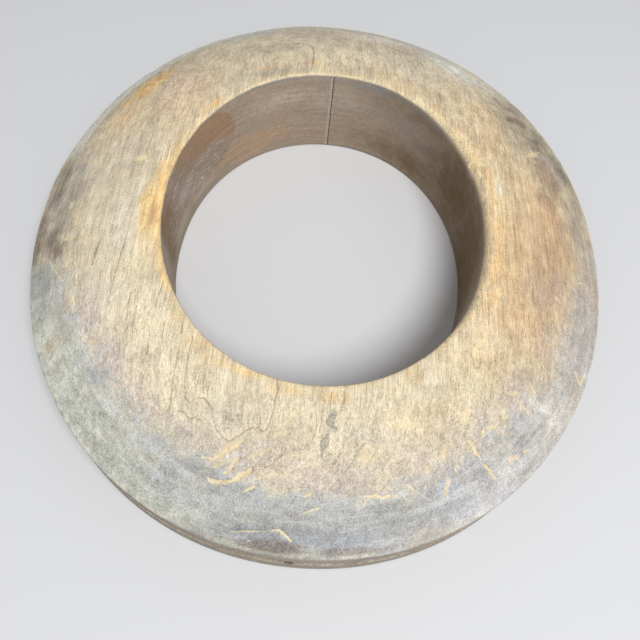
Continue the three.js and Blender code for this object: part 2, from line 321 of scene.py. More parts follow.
    ("chalk", 1.1, 0.1, [(-5.4, -133), (-4.8, -133)]),
    ("chalk", 0.6, 0.1, [(10, -171.6), (10.4, -171.7)]),
    ("chalk", 0.6, 0.1, [(20.9, -171.1), (21.2, -171)]),
    ("chalk", 0.6, 0.1, [(35, -168.8), (35.4, -168.5)]),
    ("chalk", 1.4, 0.3, [(105, -130), (105.8, -129.2)]),
    ("chalk", 1.6, 0.3, [(-100.4, 104.6), (-98.8, 105.8)]),
    ("chalk", 1.2, 0.1, [(74.2, 27.8), (75.4, 29.4)]),
    ("chalk", 0.9, 0.1, [(150, -29.8), (150.3, -29)]),
    ("chalk", 0.8, 0.1, [(-141.6, 2.3), (-146.6, -6.4)]),
    ("chalk", 0.7, 0.1, [(-134, 33.4), (-129.6, 34.8), (-124, 36)]),
    ("growth", 1.0, 0.3, [(-75.5, 46.6), (-75.3, 49.2)]),
    ("growth", 1.0, 0.3, [(-67.6, 63.2), (-67.2, 65.2)]),
    ("growth", 0.9, 0.3, [(-61.5, 71.8), (-60.9, 73.4)]),
    ("growth", 0.8, 0.3, [(-21.8, -143.6), (-21.2, -143.4)]),
    ("growth", 1.4, 0.2, [(66, -160.4), (67.2, -160)]),
    ("fresh", 4.4, 0.4, [(114.4, 53.8), (118, 57.6), (121.6, 61.4)]),
    ("fresh", 6.4, 0.3, [(118.2, 57.8), (120.2, 60)]),
    ("fresh", 2.4, 0.3, [(77.4, 34.2), (79.4, 36), (82, 35.2)]),
    ("fresh", 2.2, 0.3, [(81.6, 33.4), (84.6, 33.8)]),
    ("fresh", 0.8, 0.15, [(-134.6, 51.2), (-129, 52.4), (-123.6, 56)]),
    ("fresh", 0.8, 0.15, [(-131, 58), (-126, 60.4), (-121, 61.8)]),
    ("fresh", 1.0, 0.15, [(-130.2, 45.6), (-124.8, 47.2)]),
    ("fresh", 1.2, 0.15, [(-118.6, 46.6), (-113, 49.8), (-109, 50.6)]),
    ("fresh", 0.8, 0.15, [(-117.6, 37.6), (-112, 35.8), (-108, 37)]),
    # Blue-black iron stain round the two pins
    ("iron", 4.0, 0, [(11, -117.6), (9.6, -122)]),
    ("iron", 1.5, 0, [(9.4, -119.4), (8.3, -121), (8.2, -122.8), (9.4, -123.8)]),
    ("iron", 1.4, 0, [(10.6, -119.6), (11.3, -121), (10.8, -123)]),
    ("iron", 3.8, 0, [(10.6, -124.2), (12.2, -125)]),
    ("iron", 1.8, 0, [(10, -123.8), (12, -124.2), (12.4, -125.4)]),
    ("iron", 2.4, 0, [(9.8, -124.4), (8.5, -128)]),
    ("iron", 4.0, 0, [(8.4, -128.4), (7.4, -133.2)]),
    ("iron", 1.4, 0, [(8, -128.8), (6.8, -129.8), (6.3, -131.6), (6.7, -133), (7.3, -133.8)]),
    ("iron", 1.3, 0, [(8.6, -129), (9, -130.6), (8.6, -132.4), (7.6, -133.8)]),
    ("iron", 0.8, 0, [(7.2, -134.4), (7, -136.4)]),
]


def oval_share(x, y):
    """How far across the bridge each point lies, from 0 at the hole to 1 at the rim."""
    low = np.full(x.shape, -0.2)
    high = np.full(x.shape, 1.2)
    for _ in range(24):
        share = (low + high) / 2
        half_x = (HOLE_WIDTH + (BLOCK_WIDTH - HOLE_WIDTH) * share) / 2
        half_y = (HOLE_LENGTH + (BLOCK_LENGTH - HOLE_LENGTH) * share) / 2
        centre = -HOLE_FORWARD * (1 - share)
        inside = (np.abs(x) / half_x) ** OVAL_POWER + (np.abs(y - centre) / half_y) ** OVAL_POWER < 1
        high = np.where(inside, share, high)
        low = np.where(inside, low, share)
    return (low + high) / 2


def step_up(value, start, end):
    """0 below start, 1 above end, smooth between."""
    t = np.clip((value - start) / (end - start), 0, 1)
    return t * t * (3 - 2 * t)


def step_down(value, start, end):
    return 1 - step_up(value, start, end)


def between(value, rise, risen, fall, fallen):
    """0 below rise and above fallen, 1 from risen to fall, smooth between."""
    return step_up(value, rise, risen) * step_down(value, fall, fallen)


def along_path(x, y, path):
    """Each point's distance from a path in plan, and how far along the path it lies, from 0 to 1."""
    nearest = np.full(x.shape, np.inf)
    along = np.zeros(x.shape)
    lengths = [math.hypot(bx - ax, by - ay) for (ax, ay), (bx, by) in zip(path, path[1:])]
    done = 0.0
    for ((ax, ay), (bx, by)), length in zip(zip(path, path[1:]), lengths):
        dx = bx - ax
        dy = by - ay
        t = np.clip(((x - ax) * dx + (y - ay) * dy) / (length * length), 0, 1)
        distance = np.hypot(x - ax - t * dx, y - ay - t * dy)
        closer = distance < nearest
        nearest = np.where(closer, distance, nearest)
        along = np.where(closer, (done + t * length) / sum(lengths), along)
        done += length
    return nearest, along


def path_distance(x, y, path):
    return along_path(x, y, path)[0]


def read_vectors(items, name):
    flat = np.empty(len(items) * 3)
    items.foreach_get(name, flat)
    return flat.reshape(-1, 3)


def read_points(piece):
    """The piece's vertices in millimetres."""
    return read_vectors(piece.data.vertices, "co") / MM


def write_points(piece, points):
    piece.data.vertices.foreach_set("co", (points * MM).ravel())
    piece.data.update()


def read_normals(piece):
    return read_vectors(piece.data.vertex_normals, "vector")


def deselect_all():
    if bpy.context.mode != "OBJECT":
        bpy.ops.object.mode_set(mode="OBJECT")
    bpy.ops.object.select_all(action="DESELECT")


def pick(piece):
    deselect_all()
    piece.select_set(True)
    bpy.context.view_layer.objects.active = piece


def named(name):
    piece = bpy.context.view_layer.objects.active
    piece.name = name
    piece.data.name = name
    return piece


def copy_of(piece, name):
    pick(piece)
    bpy.ops.object.duplicate(linked=False)
    return named(name)


def all_faces():
    bpy.ops.object.mode_set(mode="EDIT")
    bpy.ops.mesh.select_all(action="SELECT")


def select_faces(piece, chosen):
    """Leaves exactly the chosen faces selected, and the piece in edit mode."""
    pick(piece)
    bpy.ops.object.mode_set(mode="EDIT")
    bpy.ops.mesh.select_mode(type="FACE")
    bpy.ops.mesh.select_all(action="DESELECT")
    bpy.ops.object.mode_set(mode="OBJECT")
    piece.data.polygons.foreach_set("select", chosen)
    bpy.ops.object.mode_set(mode="EDIT")


def face_centres(piece):
    """The middles of the piece's faces in millimetres."""
    return read_vectors(piece.data.polygons, "center") / MM


def turned_ring():
    """The whole ring, spun from its section and then drawn out to the ovals of the hole and the rim."""
    section = np.array(ring_section())
    deselect_all()
    bpy.ops.mesh.primitive_circle_add(vertices=len(section), radius=BLOCK_THICKNESS * MM / 2)
    ring = named("turned_ring")
    profile = np.zeros((len(section), 3))
    profile[:, 0] = HOLE_WIDTH / 2 + section[:, 0] * NOMINAL_BRIDGE + section[:, 1]
    profile[:, 2] = section[:, 2]
    write_points(ring, profile)
    for name, column in (("share", 0), ("offset", 1)):
        layer = ring.data.attributes.new(name, "FLOAT", "POINT")
        layer.data.foreach_set("value", section[:, column])
    lathe = ring.modifiers.new("lathe", "SCREW")
    lathe.axis = "Z"
    lathe.angle = TURN
    lathe.steps = AROUND
    lathe.render_steps = AROUND
    lathe.use_merge_vertices = True
    lathe.merge_threshold = MERGE_DISTANCE
    pick(ring)
    bpy.ops.object.modifier_apply(modifier=lathe.name)
    all_faces()
    bpy.ops.mesh.remove_doubles(threshold=MERGE_DISTANCE)
    bpy.ops.mesh.normals_make_consistent(inside=False)
    bpy.ops.object.mode_set(mode="OBJECT")

    points = read_points(ring)
    columns = {name: np.empty(len(points)) for name in ("share", "offset")}
    for name, values in columns.items():
        ring.data.attributes[name].data.foreach_get("value", values)
        ring.data.attributes.remove(ring.data.attributes[name])
    turn = np.arctan2(points[:, 1], points[:, 0])
    hole = oval(HOLE_WIDTH, HOLE_LENGTH, -HOLE_FORWARD, turn)
    rim = oval(BLOCK_WIDTH, BLOCK_LENGTH, 0, turn)
    width = np.hypot(*(rim - hole).T)
    across = (columns["share"] * width + columns["offset"]) / width
    points[:, :2] = hole + (rim - hole) * across[:, None]
    write_points(ring, points)
    return ring


def on_dome(points):
    """True for points of the domed top, from the lip's edge to the corner."""
    share = oval_share(points[:, 0], points[:, 1])
    return (points[:, 2] > RIM_TOP) & (share > 0.003)


def in_slot(x, y, z, margin=0):
    """True for points on the rim at the front, over the slot's length and height and a margin."""
    slot_x, slot_z, half_length, half_height, _ = SLOT
    front = (y < 0) & (z < RIM_TOP) & (oval_share(x, y) > 0.9)
    return front & (np.abs(x - slot_x) < half_length + margin) & (np.abs(z - slot_z) < half_height + margin)


def refine_marks(ring):
    """Cuts the faces under the marks and the slot three by three, so that they can be carved."""
    centres = face_centres(ring)
    top = on_dome(centres)
    x, y, z = centres.T
    chosen = in_slot(x, y, z, 1)
    for _, width, _, path in MARKS:
        chosen |= top & (path_distance(x, y, path) < width / 2 + REFINE_MARGIN)
    select_faces(ring, chosen)
    bpy.ops.mesh.subdivide(number_cuts=2, smoothness=0)
    bpy.ops.object.mode_set(mode="OBJECT")


def waves(x, y, z, size, seed):
    """Smooth values from -1 to 1 that wander over about the given size."""
    draw = np.random.default_rng(seed)
    total = np.zeros(x.shape)
    rounds = 9
    for _ in range(rounds):
        direction = draw.normal(size=3)
        direction /= np.linalg.norm(direction)
        length = size * draw.uniform(0.6, 1.6)
        phase = draw.uniform(0, TURN)
        total += np.sin((x * direction[0] + y * direction[1] + z * direction[2]) * TURN / length + phase)
    return total / rounds * 1.8


def mark_strength(x, y, mark, seed):
    """1 in the middle of a mark, 0 outside it, with a ragged edge."""
    kind, width, _, path = mark
    flat = 0 * x
    if kind == "growth":
        # The fibres tear a growth line up and down
        y = y + waves(x, flat, flat, 1.1, seed) * 0.45 + waves(x, flat, flat, 3.5, seed + 400) * 0.35
        x = x + waves(flat, y, flat, 6, seed + 800) * 0.15
        thick = width * (0.8 + 0.4 * waves(x, y, flat, 7, seed + 1200))
        return step_down(path_distance(x, y, path) / (np.maximum(thick, 0.35) / 2), 0.3, 1.4)
    distance, along = along_path(x, y, path)
    length = sum(math.hypot(bx - ax, by - ay) for (ax, ay), (bx, by) in zip(path, path[1:]))
    thick = np.full(x.shape, float(width))
    if length > 1.5 * width and kind != "iron":
        # Long strokes run out thin at both ends
        thick = width * (0.3 + 0.7 * np.sqrt(np.clip(np.sin(along * math.pi), 0, 1)))
        thick = thick * (1 + 0.35 * waves(x, y, flat, 3.2, seed + 1600))
    ragged = waves(x, y, flat, 1.3, seed) * 0.3 + waves(x, y, flat, 2.8, seed + 2000) * 0.3
    return step_down(distance / (np.maximum(thick, 0.3) / 2) + ragged, 0.25, 1.35)


def plainness(mark):
    """How plainly a mark shows: shallow rubs less than deep gouges, washes of stain less than their edges."""
    kind, width, depth, _ = mark
    if kind == "fresh":
        return min(1, 0.6 + 0.9 * depth)
    if kind == "iron":
        return 0.62 if width > 2 else 0.8
    return 1


def carve_marks(ring):
    """Carves the gouges, dings, scratches and open growth lines into the dome."""
    points = read_points(ring)
    normals = read_normals(ring)
    top = np.flatnonzero(on_dome(points))
    x, y = points[top, 0], points[top, 1]
    deep = np.zeros(len(top))
    for number, mark in enumerate(MARKS):
        _, width, depth, path = mark
        if depth > 0:
            near = path_distance(x, y, path) < width / 2 + REFINE_MARGIN
            strength = mark_strength(x[near], y[near], mark, number)
            deep[near] = np.maximum(deep[near], strength * depth)
    points[top] -= normals[top] * deep[:, None]
    write_points(ring, points)


def uneven_by_hand(ring):
    """Takes a little off here and there, as hand turning and long use do."""
    points = read_points(ring)
    group = ring.vertex_groups.new(name="worked")
    worked = np.flatnonzero(points[:, 2] > BASE_RADIUS * 2)
    group.add([int(i) for i in worked], 1.0, "REPLACE")
    cloud = bpy.data.textures.new("hand_turning", "CLOUDS")
    cloud.noise_scale = UNEVEN_SIZE * MM
    cloud.noise_depth = 1
    pick(ring)
    shift = ring.modifiers.new("hand_turning", "DISPLACE")
    shift.texture = cloud
    shift.texture_coords = "LOCAL"
    shift.vertex_group = "worked"
    shift.strength = UNEVEN_DEPTH * MM
    shift.mid_level = 1.0
    bpy.ops.object.modifier_apply(modifier=shift.name)


def round_lip(ring):
    """Rolls the lip over to a wide radius at the right, where it is worn most."""
    points = read_points(ring)
    x, y, z = points.T
    fall = BLOCK_THICKNESS - RIM_HEIGHT
    right = between(np.degrees(np.arctan2(y + HOLE_FORWARD, x)), *WORN_LIP_ANGLES)
    radius = WORN_LIP_END + (WORN_LIP - WORN_LIP_END) * right
    across = oval_share(x, y) * NOMINAL_BRIDGE
    drop = fall * np.clip(across / NOMINAL_BRIDGE, 0, 1) ** DOME_POWER
    depth = BLOCK_THICKNESS - z - drop
    along = across - depth
    near = (right > 0.02) & (z > BLOCK_THICKNESS / 2)
    near &= (np.abs(along) < radius) & (np.minimum(across, depth) < LIP_REACH)
    sweep = math.pi / 4 * (1 + along[near] / radius[near])
    reach = radius[near]
    new_across = reach * (1 - np.cos(sweep))
    new_depth = reach * (1 - np.sin(sweep))
    new_drop = fall * (new_across / NOMINAL_BRIDGE) ** DOME_POWER
    outward = np.stack([x[near], y[near] + HOLE_FORWARD], axis=-1)
    outward /= np.linalg.norm(outward, axis=1)[:, None]
    points[near, :2] += outward * (new_across - across[near])[:, None]
    points[near, 2] = BLOCK_THICKNESS - new_depth - new_drop
    write_points(ring, points)


def rubbed_flat(share, angle, z, rise, fall):
    """1 where the outer edge at the back left is rubbed down, 0 elsewhere."""
    around = between(angle, RUBBED_START, RUBBED_START + rise, RUBBED_END - fall, RUBBED_END)
    return around * step_up(share, RUBBED_SHARE, RUBBED_SHARE + RUBBED_RISE) * (z > RIM_TOP - 2)


def wear_edges(ring):
    """Rounds the lip here and there, and rubs down the outer corner at the back left."""
    points = read_points(ring)
    normals = read_normals(ring)
    x, y, z = points.T
    share = oval_share(x, y)
    angle = np.degrees(np.arctan2(y, x))
    take = RUBBED_DEPTH * rubbed_flat(share, angle, z, 20, 16) * (1 + 0.3 * waves(x, y, z, 30, 9))
    # The lip is bruised most at the left and the back left
    lip = (share < 0.03) & (z > BLOCK_THICKNESS - 4)
    bruise = np.clip(waves(x, y, z, 11, 5), 0, 1) * (0.12 + 0.2 * ((angle > 100) | (angle < -160)))
    take = np.where(lip, take + bruise, take)
    # So is the corner all round
    corner = (share > 0.975) & (z > RIM_TOP - 1.5)
    take = np.where(corner, take + np.clip(waves(x, y, z, 9, 6), 0, 1) * 0.35, take)
    points -= normals * take[:, None]
    write_points(ring, points)


def cut_slot(ring):
    """Sinks the slot into the groove, and the notch into the lip."""
    points = read_points(ring)
    x, y, z = points.T
    points[in_slot(x, y, z), 1] += SLOT[4]
    notch_x, notch_y, half_width, depth, longer = NOTCH
    away = np.hypot(x - notch_x, (y - notch_y) / longer) / half_width
    top = (away < 1) & (z > BLOCK_THICKNESS - 3)
    points[top, 2] -= depth * (1 - away[top])
    write_points(ring, points)


def cut_away(piece, at_x, keep):
    """Saws the piece at a plane across X and keeps the side below or above it, with the cut closed."""
    pick(piece)
    all_faces()
    bpy.ops.mesh.bisect(
        plane_co=(at_x * MM, 0, 0), plane_no=(1, 0, 0), use_fill=True, threshold=SAW_SLACK * MM,
        clear_inner=keep == "above", clear_outer=keep == "below")
    bpy.ops.object.mode_set(mode="OBJECT")


def bore(piece, cutter):
    pick(piece)
    cut = piece.modifiers.new("bore", "BOOLEAN")
    cut.operation = "DIFFERENCE"
    cut.solver = "EXACT"
    cut.object = cutter
    bpy.ops.object.modifier_apply(modifier=cut.name)


def middle_of(name):
    low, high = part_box(name)
    return [(low[k] + high[k]) / 2 for k in range(3)]


def rod(sides, radius, length, place, turn=(0, 0, 0)):
    """A round bar along Z before its turn, its radius in millimetres, its length and place in metres."""
    deselect_all()
    bpy.ops.mesh.primitive_cylinder_add(
        vertices=sides, radius=radius * MM, depth=length, location=place, rotation=turn)
    bpy.ops.object.transform_apply(location=True, rotation=True, scale=True)
    return bpy.context.view_layer.objects.active


def join_all(pieces, name):
    deselect_all()
    for piece in pieces:
        piece.select_set(True)
    bpy.context.view_layer.objects.active = pieces[0]
    bpy.ops.object.join()
    return named(name)


def dowel_drill():
    """The shapes of the four dowel holes, as one cutter."""
    drills = []
    for name in DOWELS:
        low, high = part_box(name)
        length = high[0] - low[0] + 2 * DOWEL_END_GAP * MM
        radius = DOWEL_RADIUS + DOWEL_SIDE_GAP
        drills.append(rod(BORE_SIDES, radius, length, middle_of(name), (0, math.pi / 2, 0)))
    return join_all(drills, "dowel_drill")


def pin_drill():
    """The shapes of the two pin holes, as one cutter."""
    drills = []
    for name in PINS:
        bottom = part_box(name)[0][2] - PIN_END_GAP * MM
        top = (BLOCK_THICKNESS + 1) * MM
        x, y, _ = middle_of(name)
        radius = PIN_RADIUS + PIN_SIDE_GAP
        drills.append(rod(PIN_SIDES, radius, top - bottom, (x, y, (top + bottom) / 2)))
    return join_all(drills, "pin_drill")


def delete(*pieces):
    deselect_all()
    for piece in pieces:
        piece.select_set(True)
    bpy.ops.object.delete()


def smooth(piece, degrees=38):
    pick(piece)
    bpy.ops.object.shade_smooth_by_angle(angle=math.radians(degrees))


# Broad tones of the dome: centre x, centre y, half sizes, strength, and turn in degrees where there is one
WORN = [
    (-90, -18, 5, 18, 1.2, 4), (87, 0, 6, 50, 0.5), (80, -44, 5, 20, 0.5, -24), (70, 52, 5, 18, 0.5, 34),
    (-88, -20, 5, 20, 1.0, 4), (-87, 4, 5, 16, 0.75, -6), (-83, 24, 4, 16, 0.5, -16),
    (-76, -50, 5, 14, 0.7, 16), (-66, -74, 4, 14, 0.5, 34), (-34, -102, 16, 3, 0.7, -16),
    (-8, -110, 14, 4, 0.6), (12, -111, 14, 4, 0.6, 4), (44, -98, 14, 5, 0.5, 28), (84, -10, 4, 30, 0.6),
    (72, -62, 5, 20, 0.5, -32), (79, 37, 4, 16, 0.6, 16), (-34, 96, 20, 3, 0.5, 18),
    (-12, 100, 5, 5, 0.8), (40, 84, 20, 4, 0.5, -34), (62, 62, 5, 16, 0.45, 40),
    (-68, 58, 3, 14, 0.7, -40), (-111, 86, 7, 16, 1.3, -33), (-122, 70, 4, 9, 0.7, -33),
    (107, -36, 8, 12, 0.2), (27, 94, 3, 6, 0.5), (33, -170, 3, 1.6, 0.5, 12), (-99, -52, 3, 12, 0.3),
]
PALE = [
    (-116, -24, 10, 34, 0.5), (-102, -4, 8, 30, 0.4), (-98, 26, 8, 16, 0.4), (-94, -60, 8, 16, 0.5, 16),
    (-128, -18, 5, 13, 0.8), (-135, -10, 3, 8, 0.4), (-90, -48, 7, 16, 0.9, 6), (-126, -45, 4, 8, 0.5),
    (-62, -118, 6, 5, 0.9), (-82, -80, 10, 18, 0.6, 24), (-12, -122, 14, 8, 0.5), (20, -116, 30, 6, 0.6),
    (44, -119, 9, 4, 0.8), (76, -96, 12, 12, 0.7, 40), (70, -113, 5, 6, 0.8), (104, -92, 6, 5, 0.5),
    (120, -56, 6, 6, 0.4), (112, -62, 4, 5, 0.4), (109, -80, 4, 5, 0.6), (92, 20, 4, 11, 0.9),
    (70, 78, 14, 8, 0.5, -50), (126, 81, 8, 2.4, 0.6, 44), (14, 144, 14, 6, 0.45),
    (-32, 108, 15, 5, 0.75), (-58, 126, 15, 5, 0.5, 18), (-72, 62, 5, 14, 0.4, -34),
    (-129, 54, 8, 5, 0.8, 30), (-114, 41, 7, 6, 0.7, 20), (-128, 47, 6, 3, 0.7, 10),
    (-120, 74, 5, 7, 0.6, -34), (60, 112, 16, 10, 0.25, -30), (4, 108, 14, 10, 0.4),
    (-86, 112, 14, 6, 0.35, 40), (-98, 92, 12, 5, 0.3, 44), (-105, 55, 8, 12, 0.25),
    (-14, -145, 6, 3, 0.4, 20), (40, -105, 26, 6, 0.4, 24),
]
MAUVE = [
    (-30, -141, 32, 9, 0.95, 8), (10, -144, 36, 9, 1.0, 2), (50, -136, 20, 10, 0.95, 24),
    (76, -117, 15, 12, 0.9, 42), (96, -94, 10, 15, 0.8, -34), (-72, -120, 15, 9, 0.9, -38),
    (-92, -101, 14, 9, 0.85, -46), (-108, -80, 9, 14, 0.8, 24), (-117, -60, 7, 12, 0.7, 10),
    (8, 104, 24, 6, 0.3), (-30, 100, 14, 5, 0.3), (-146, -10, 7, 20, 0.8), (-104, -14, 8, 26, 0.2),
    (-112, -62, 12, 14, 0.55, 20), (-122, -72, 7, 7, 0.8), (-106, -88, 10, 12, 0.45),
    (-103, -89, 5, 4, 0.7), (-88, -108, 14, 8, 0.7, -42), (-80, -96, 12, 8, 0.3, -40),
    (-70, -116, 9, 6, 0.55, -30), (-52, -131, 14, 5, 0.7, -14), (-22, -136, 18, 6, 0.5),
    (-30, -146, 24, 5, 0.5, 8), (4, -139, 14, 5, 0.5), (14, -146, 26, 6, 0.85, 4),
    (40, -141, 16, 6, 0.7, 14), (58, -130, 12, 8, 0.5, 30), (66, -120, 10, 8, 0.4, 30),
    (88, -108, 8, 8, 0.3), (104, -70, 8, 10, 0.5), (108, -42, 10, 16, 0.6), (122, -34, 8, 20, 0.7),
    (128, -66, 14, 20, 0.8, -20), (138, -40, 12, 24, 0.75, -6), (124, -88, 12, 12, 0.5, -40),
    (142, 0, 9, 40, 0.65), (128, 10, 8, 30, 0.4), (131, 54, 9, 18, 0.75, 16), (120, 70, 8, 9, 0.6),
    (104, 66, 10, 12, 0.35), (36, 135, 5, 8, 0.5), (46, 100, 18, 6, 0.35, -28), (30, 124, 20, 10, 0.3),
    (-92, 72, 18, 28, 0.75, 10), (-88, 104, 10, 10, 0.45), (-108, 28, 14, 18, 0.5),
    (-140, 28, 7, 10, 0.6), (-126, 2, 8, 20, 0.4), (-60, 108, 14, 10, 0.4, 30), (-14, 138, 24, 10, 0.45),
    (-20, 118, 26, 3, 0.35), (-114, 60, 10, 12, 0.4), (88, 96, 14, 10, 0.35, -40),
    (114, 100, 14, 8, 0.4, -50),
]
BLUED = [
    (-138, -62, 10, 16, 0.8, 10), (-130, -62, 7, 8, 0.8), (-118, -80, 8, 10, 0.4, 30),
    (-108, -97, 12, 8, 0.35, -50), (-98, -108, 14, 7, 0.5, -48), (-84, -122, 16, 8, 0.4, -40),
    (-64, -136, 18, 7, 0.5, -26), (-44, -146, 22, 7, 0.75, -12), (-26, -156, 30, 8, 1.0, -6),
    (6, -157, 30, 7, 1.0, 2), (34, -158, 28, 8, 1.0, 14), (60, -147, 22, 8, 0.8, 28),
    (82, -132, 18, 9, 0.55, 40), (82, -119, 6, 7, 0.6), (100, -110, 14, 11, 0.5, 50),
    (108, -98, 12, 8, 0.5, 40), (122, -90, 12, 8, 0.45, 60), (-60, -152, 20, 7, 0.8, -24),
    (46, -144, 10, 4, 0.5, 10), (-146, -52, 5, 12, 0.6, 8), (-96, -122, 12, 8, 0.4, -44),
    (0, -166, 44, 5, 0.9), (-134, 18, 4, 14, 0.5),
]
GREENED = [
    (-145, -62, 6, 14, 0.7, 10), (-138, -80, 9, 14, 0.85, 24), (-128, -98, 10, 14, 0.9, 36),
    (-116, -112, 12, 12, 0.95, 44), (-102, -126, 16, 10, 0.95, -46), (-84, -142, 18, 9, 0.95, -36),
    (-64, -155, 20, 7, 0.9, -24), (-44, -164, 18, 5, 0.55, -14), (30, -126, 18, 5, 0.35),
    (72, -72, 9, 8, 0.4), (-60, 142, 34, 6, 0.6, 30), (48, 150, 30, 6, 0.6, -24), (-90, -134, 10, 8, 0.5),
    (72, 130, 26, 16, 0.7, -38),
]
# Grime; along the front edge of the dome it is also painted shade
GRIME_AND_SHADE = [
    (-142, -31, 12, 13, 0.62, -10), (-151, -24, 7, 22, 0.84), (-137, -36, 9, 9, 0.7),
    (-148, 4, 7, 20, 0.7), (-138, 20, 5, 12, 0.4), (-146, -46, 4, 10, 0.4), (-122, -72, 6, 6, 0.3),
    (-99, -104, 8, 7, 0.35, -40), (-50, -132, 14, 3, 0.3, -14), (-33, -157, 24, 4, 0.35, -6),
    (-8, -160, 24, 5, 0.4), (-10, -171, 15, 2.8, 1.3, -2), (24, -170, 24, 2.6, 0.75, 8),
    (-46, -168, 18, 2.4, 0.55, -14), (60, -160, 18, 2.4, 0.45, 24), (88, -142, 14, 2.4, 0.2, 38),
    (-76, -155, 16, 2.2, 0.4, -26), (-6, -165, 30, 4, 0.35), (40, -157, 26, 4, 0.3, 14),
    (101, 103, 8, 7, 0.45), (112, 88, 8, 7, 0.75), (121, 76, 6, 5, 0.45), (96, 96, 6, 6, 0.3),
    (128, 38, 6, 10, 0.3), (-111, -43, 3, 10, 0.35), (-93, 106, 6, 7, 0.3), (138, 24, 5, 12, 0.25),
    (-134, 36, 8, 4, 0.4, 20), (4, 132, 8, 14, 0.25), (60, -141, 14, 4, 0.2, 26),
    (134, -60, 8, 14, 0.2, -10), (-124, -60, 5, 8, 0.25),
]
REDDISH = [
    (110, -36, 14, 32, 0.5), (104, -66, 10, 14, 0.45), (88, -86, 12, 10, 0.3), (112, 84, 10, 10, 0.5),
    (127, 42, 9, 20, 0.8, 6), (123, 10, 11, 26, 0.75), (118, -28, 12, 26, 0.8), (38, 134, 4, 6, 0.6),
    (120, 68, 9, 10, 0.6), (106, -58, 9, 14, 0.5), (103, -12, 7, 26, 0.35), (100, -80, 8, 8, 0.35),
    (-109, 89, 6, 12, 0.5, -33), (-103, 99, 4, 5, 0.6), (-126, -41, 3, 4, 0.5), (-87, -22, 3, 12, 0.6, 4),
    (-80, 22, 2, 14, 0.4, -16), (133, -10, 6, 26, 0.4), (84, 14, 1.6, 22, 0.8), (-103, -89, 4, 3, 0.5),
    (112, -46, 8, 12, 0.35), (16, -147, 16, 4, 0.3, 4),
]
TANNED = [
    (104, -14, 36, 74, 1.2), (94, 50, 30, 40, 0.8), (76, -84, 24, 22, 0.6, 30), (-84, -10, 8, 30, 0.4),
]
DULLED = [
    (0, 146, 80, 20, 0.7), (-92, 84, 36, 34, 0.55, -40), (70, 116, 40, 24, 0.6, -34),
    (-116, 20, 16, 30, 0.5), (-104, -30, 8, 40, 0.2), (-40, 118, 24, 8, 0.5), (110, 60, 20, 24, 0.5),
    (0, -134, 60, 10, 0.3),
]
SCUFFED = [
    (-34, -143, 22, 8, 1.0, 18), (2, -140, 26, 12, 0.9, 10), (18, -146, 34, 8, 1.0, 6),
    (48, -132, 26, 12, 0.7, 22), (82, -120, 22, 11, 0.8, 38), (104, -94, 14, 12, 0.7, 50),
    (-128, -22, 8, 30, 0.6), (-112, 50, 20, 20, 0.8), (-84, 98, 30, 18, 0.8, 36),
    (70, -108, 14, 10, 0.6, 30), (-66, -128, 14, 8, 0.5, -20), (-70, -116, 12, 8, 0.7, -30),
    (110, -60, 20, 30, 0.6), (120, 20, 20, 40, 0.5), (90, 90, 30, 30, 0.4), (0, 130, 60, 20, 0.4),
]
# Painted sheen: pale highlight patches on the dome, and thin highlight strips along the lip's edge at the
# back
PAINTED_SHEEN = [
    (-130, -62, 6, 7, 0.8), (110, -99, 13, 3, 0.75, -14), (116, -103, 10, 3, 0.5, -20),
    (-104, -30, 5, 30, 0.4, 2), (82, -119, 4, 6, 0.5), (66, 134, 24, 10, 0.3, -36),
    (90, -128, 16, 7, 0.5, 38), (64, -145, 12, 5, 0.4, 26), (-132, 18, 3, 12, 0.6),
    (-116, -109, 10, 10, 0.4, 44), (-70, -150, 16, 5, 0.4, -26), (93, 18, 3, 8, 0.5),
    (70, 152, 30, 4, 0.4, -32), (-132, -52, 6, 6, 0.3), (30, 92, 26, 1.6, 0.4, -18),
    (-20, 94, 26, 1.6, 0.4, 12),
]

# Places lighter, darker, warmer and cooler than their wood, in the same form; the lighter and cooler ones at
# the back right are a painted sheen
LIGHTER = [
    (26, 150, 20, 9, 1.7), (75, 130, 18, 14, 2.0, -40), (58, 142, 18, 7, 0.4, -30),
    (-122, -24, 8, 10, 0.5), (-104, -46, 16, 34, 0.7), (-116, -92, 11, 14, 1.1, 30),
    (-98, -74, 13, 16, 0.9), (-78, -78, 14, 18, 0.7), (-82, -114, 13, 16, 0.85, -40),
    (-100, -106, 12, 8, 0.5, -45), (-124, -106, 9, 10, 0.8, 30), (92, -134, 16, 12, 0.5, 44),
    (90, -146, 15, 8, 0.5, 40), (74, -142, 10, 6, 0.7, 30), (74, -152, 14, 6, 0.9, 32),
    (104, -112, 15, 9, 0.4, 50), (122, -100, 10, 8, 1.3, 50), (56, -147, 12, 6, 0.4, 20),
    (30, -169, 22, 4, 0.5, 8), (-60, 134, 14, 8, 0.3, 20), (6, 126, 6, 9, 0.4),
    (-136, -84, 8, 16, 0.4, 24), (80, -48, 3, 24, 0.9, -14), (-100, -127, 10, 8, 0.8, -40),
    (-87, 6, 5, 44, 0.5), (-122, 36, 8, 12, 0.8), (-90, 70, 10, 24, 0.7, 8), (-120, 52, 8, 8, 0.7),
    (120, 10, 5, 10, 1.3), (0, -161, 30, 4, 0.5), (50, -164, 16, 4, 0.5, 14), (-109, 87, 6, 10, 0.3, -33),
    (-126, -41, 4, 4, 0.5), (-100, 15, 2.8, 2.8, 1.3), (83, -34, 3, 30, 1.0, -6),
    (81, 28, 3, 20, 0.9, 14), (65, 60, 3.4, 14, 1.0, 40), (-120, -10, 5, 20, 0.6),
    (-116, 103, 24, 5, 0.5, 52), (87, -26, 3, 28, 1.5, -2), (58, 126, 8, 12, 0.7), (92, 64, 4, 10, 0.5),
    (-118, 6, 6, 8, 0.5),
]
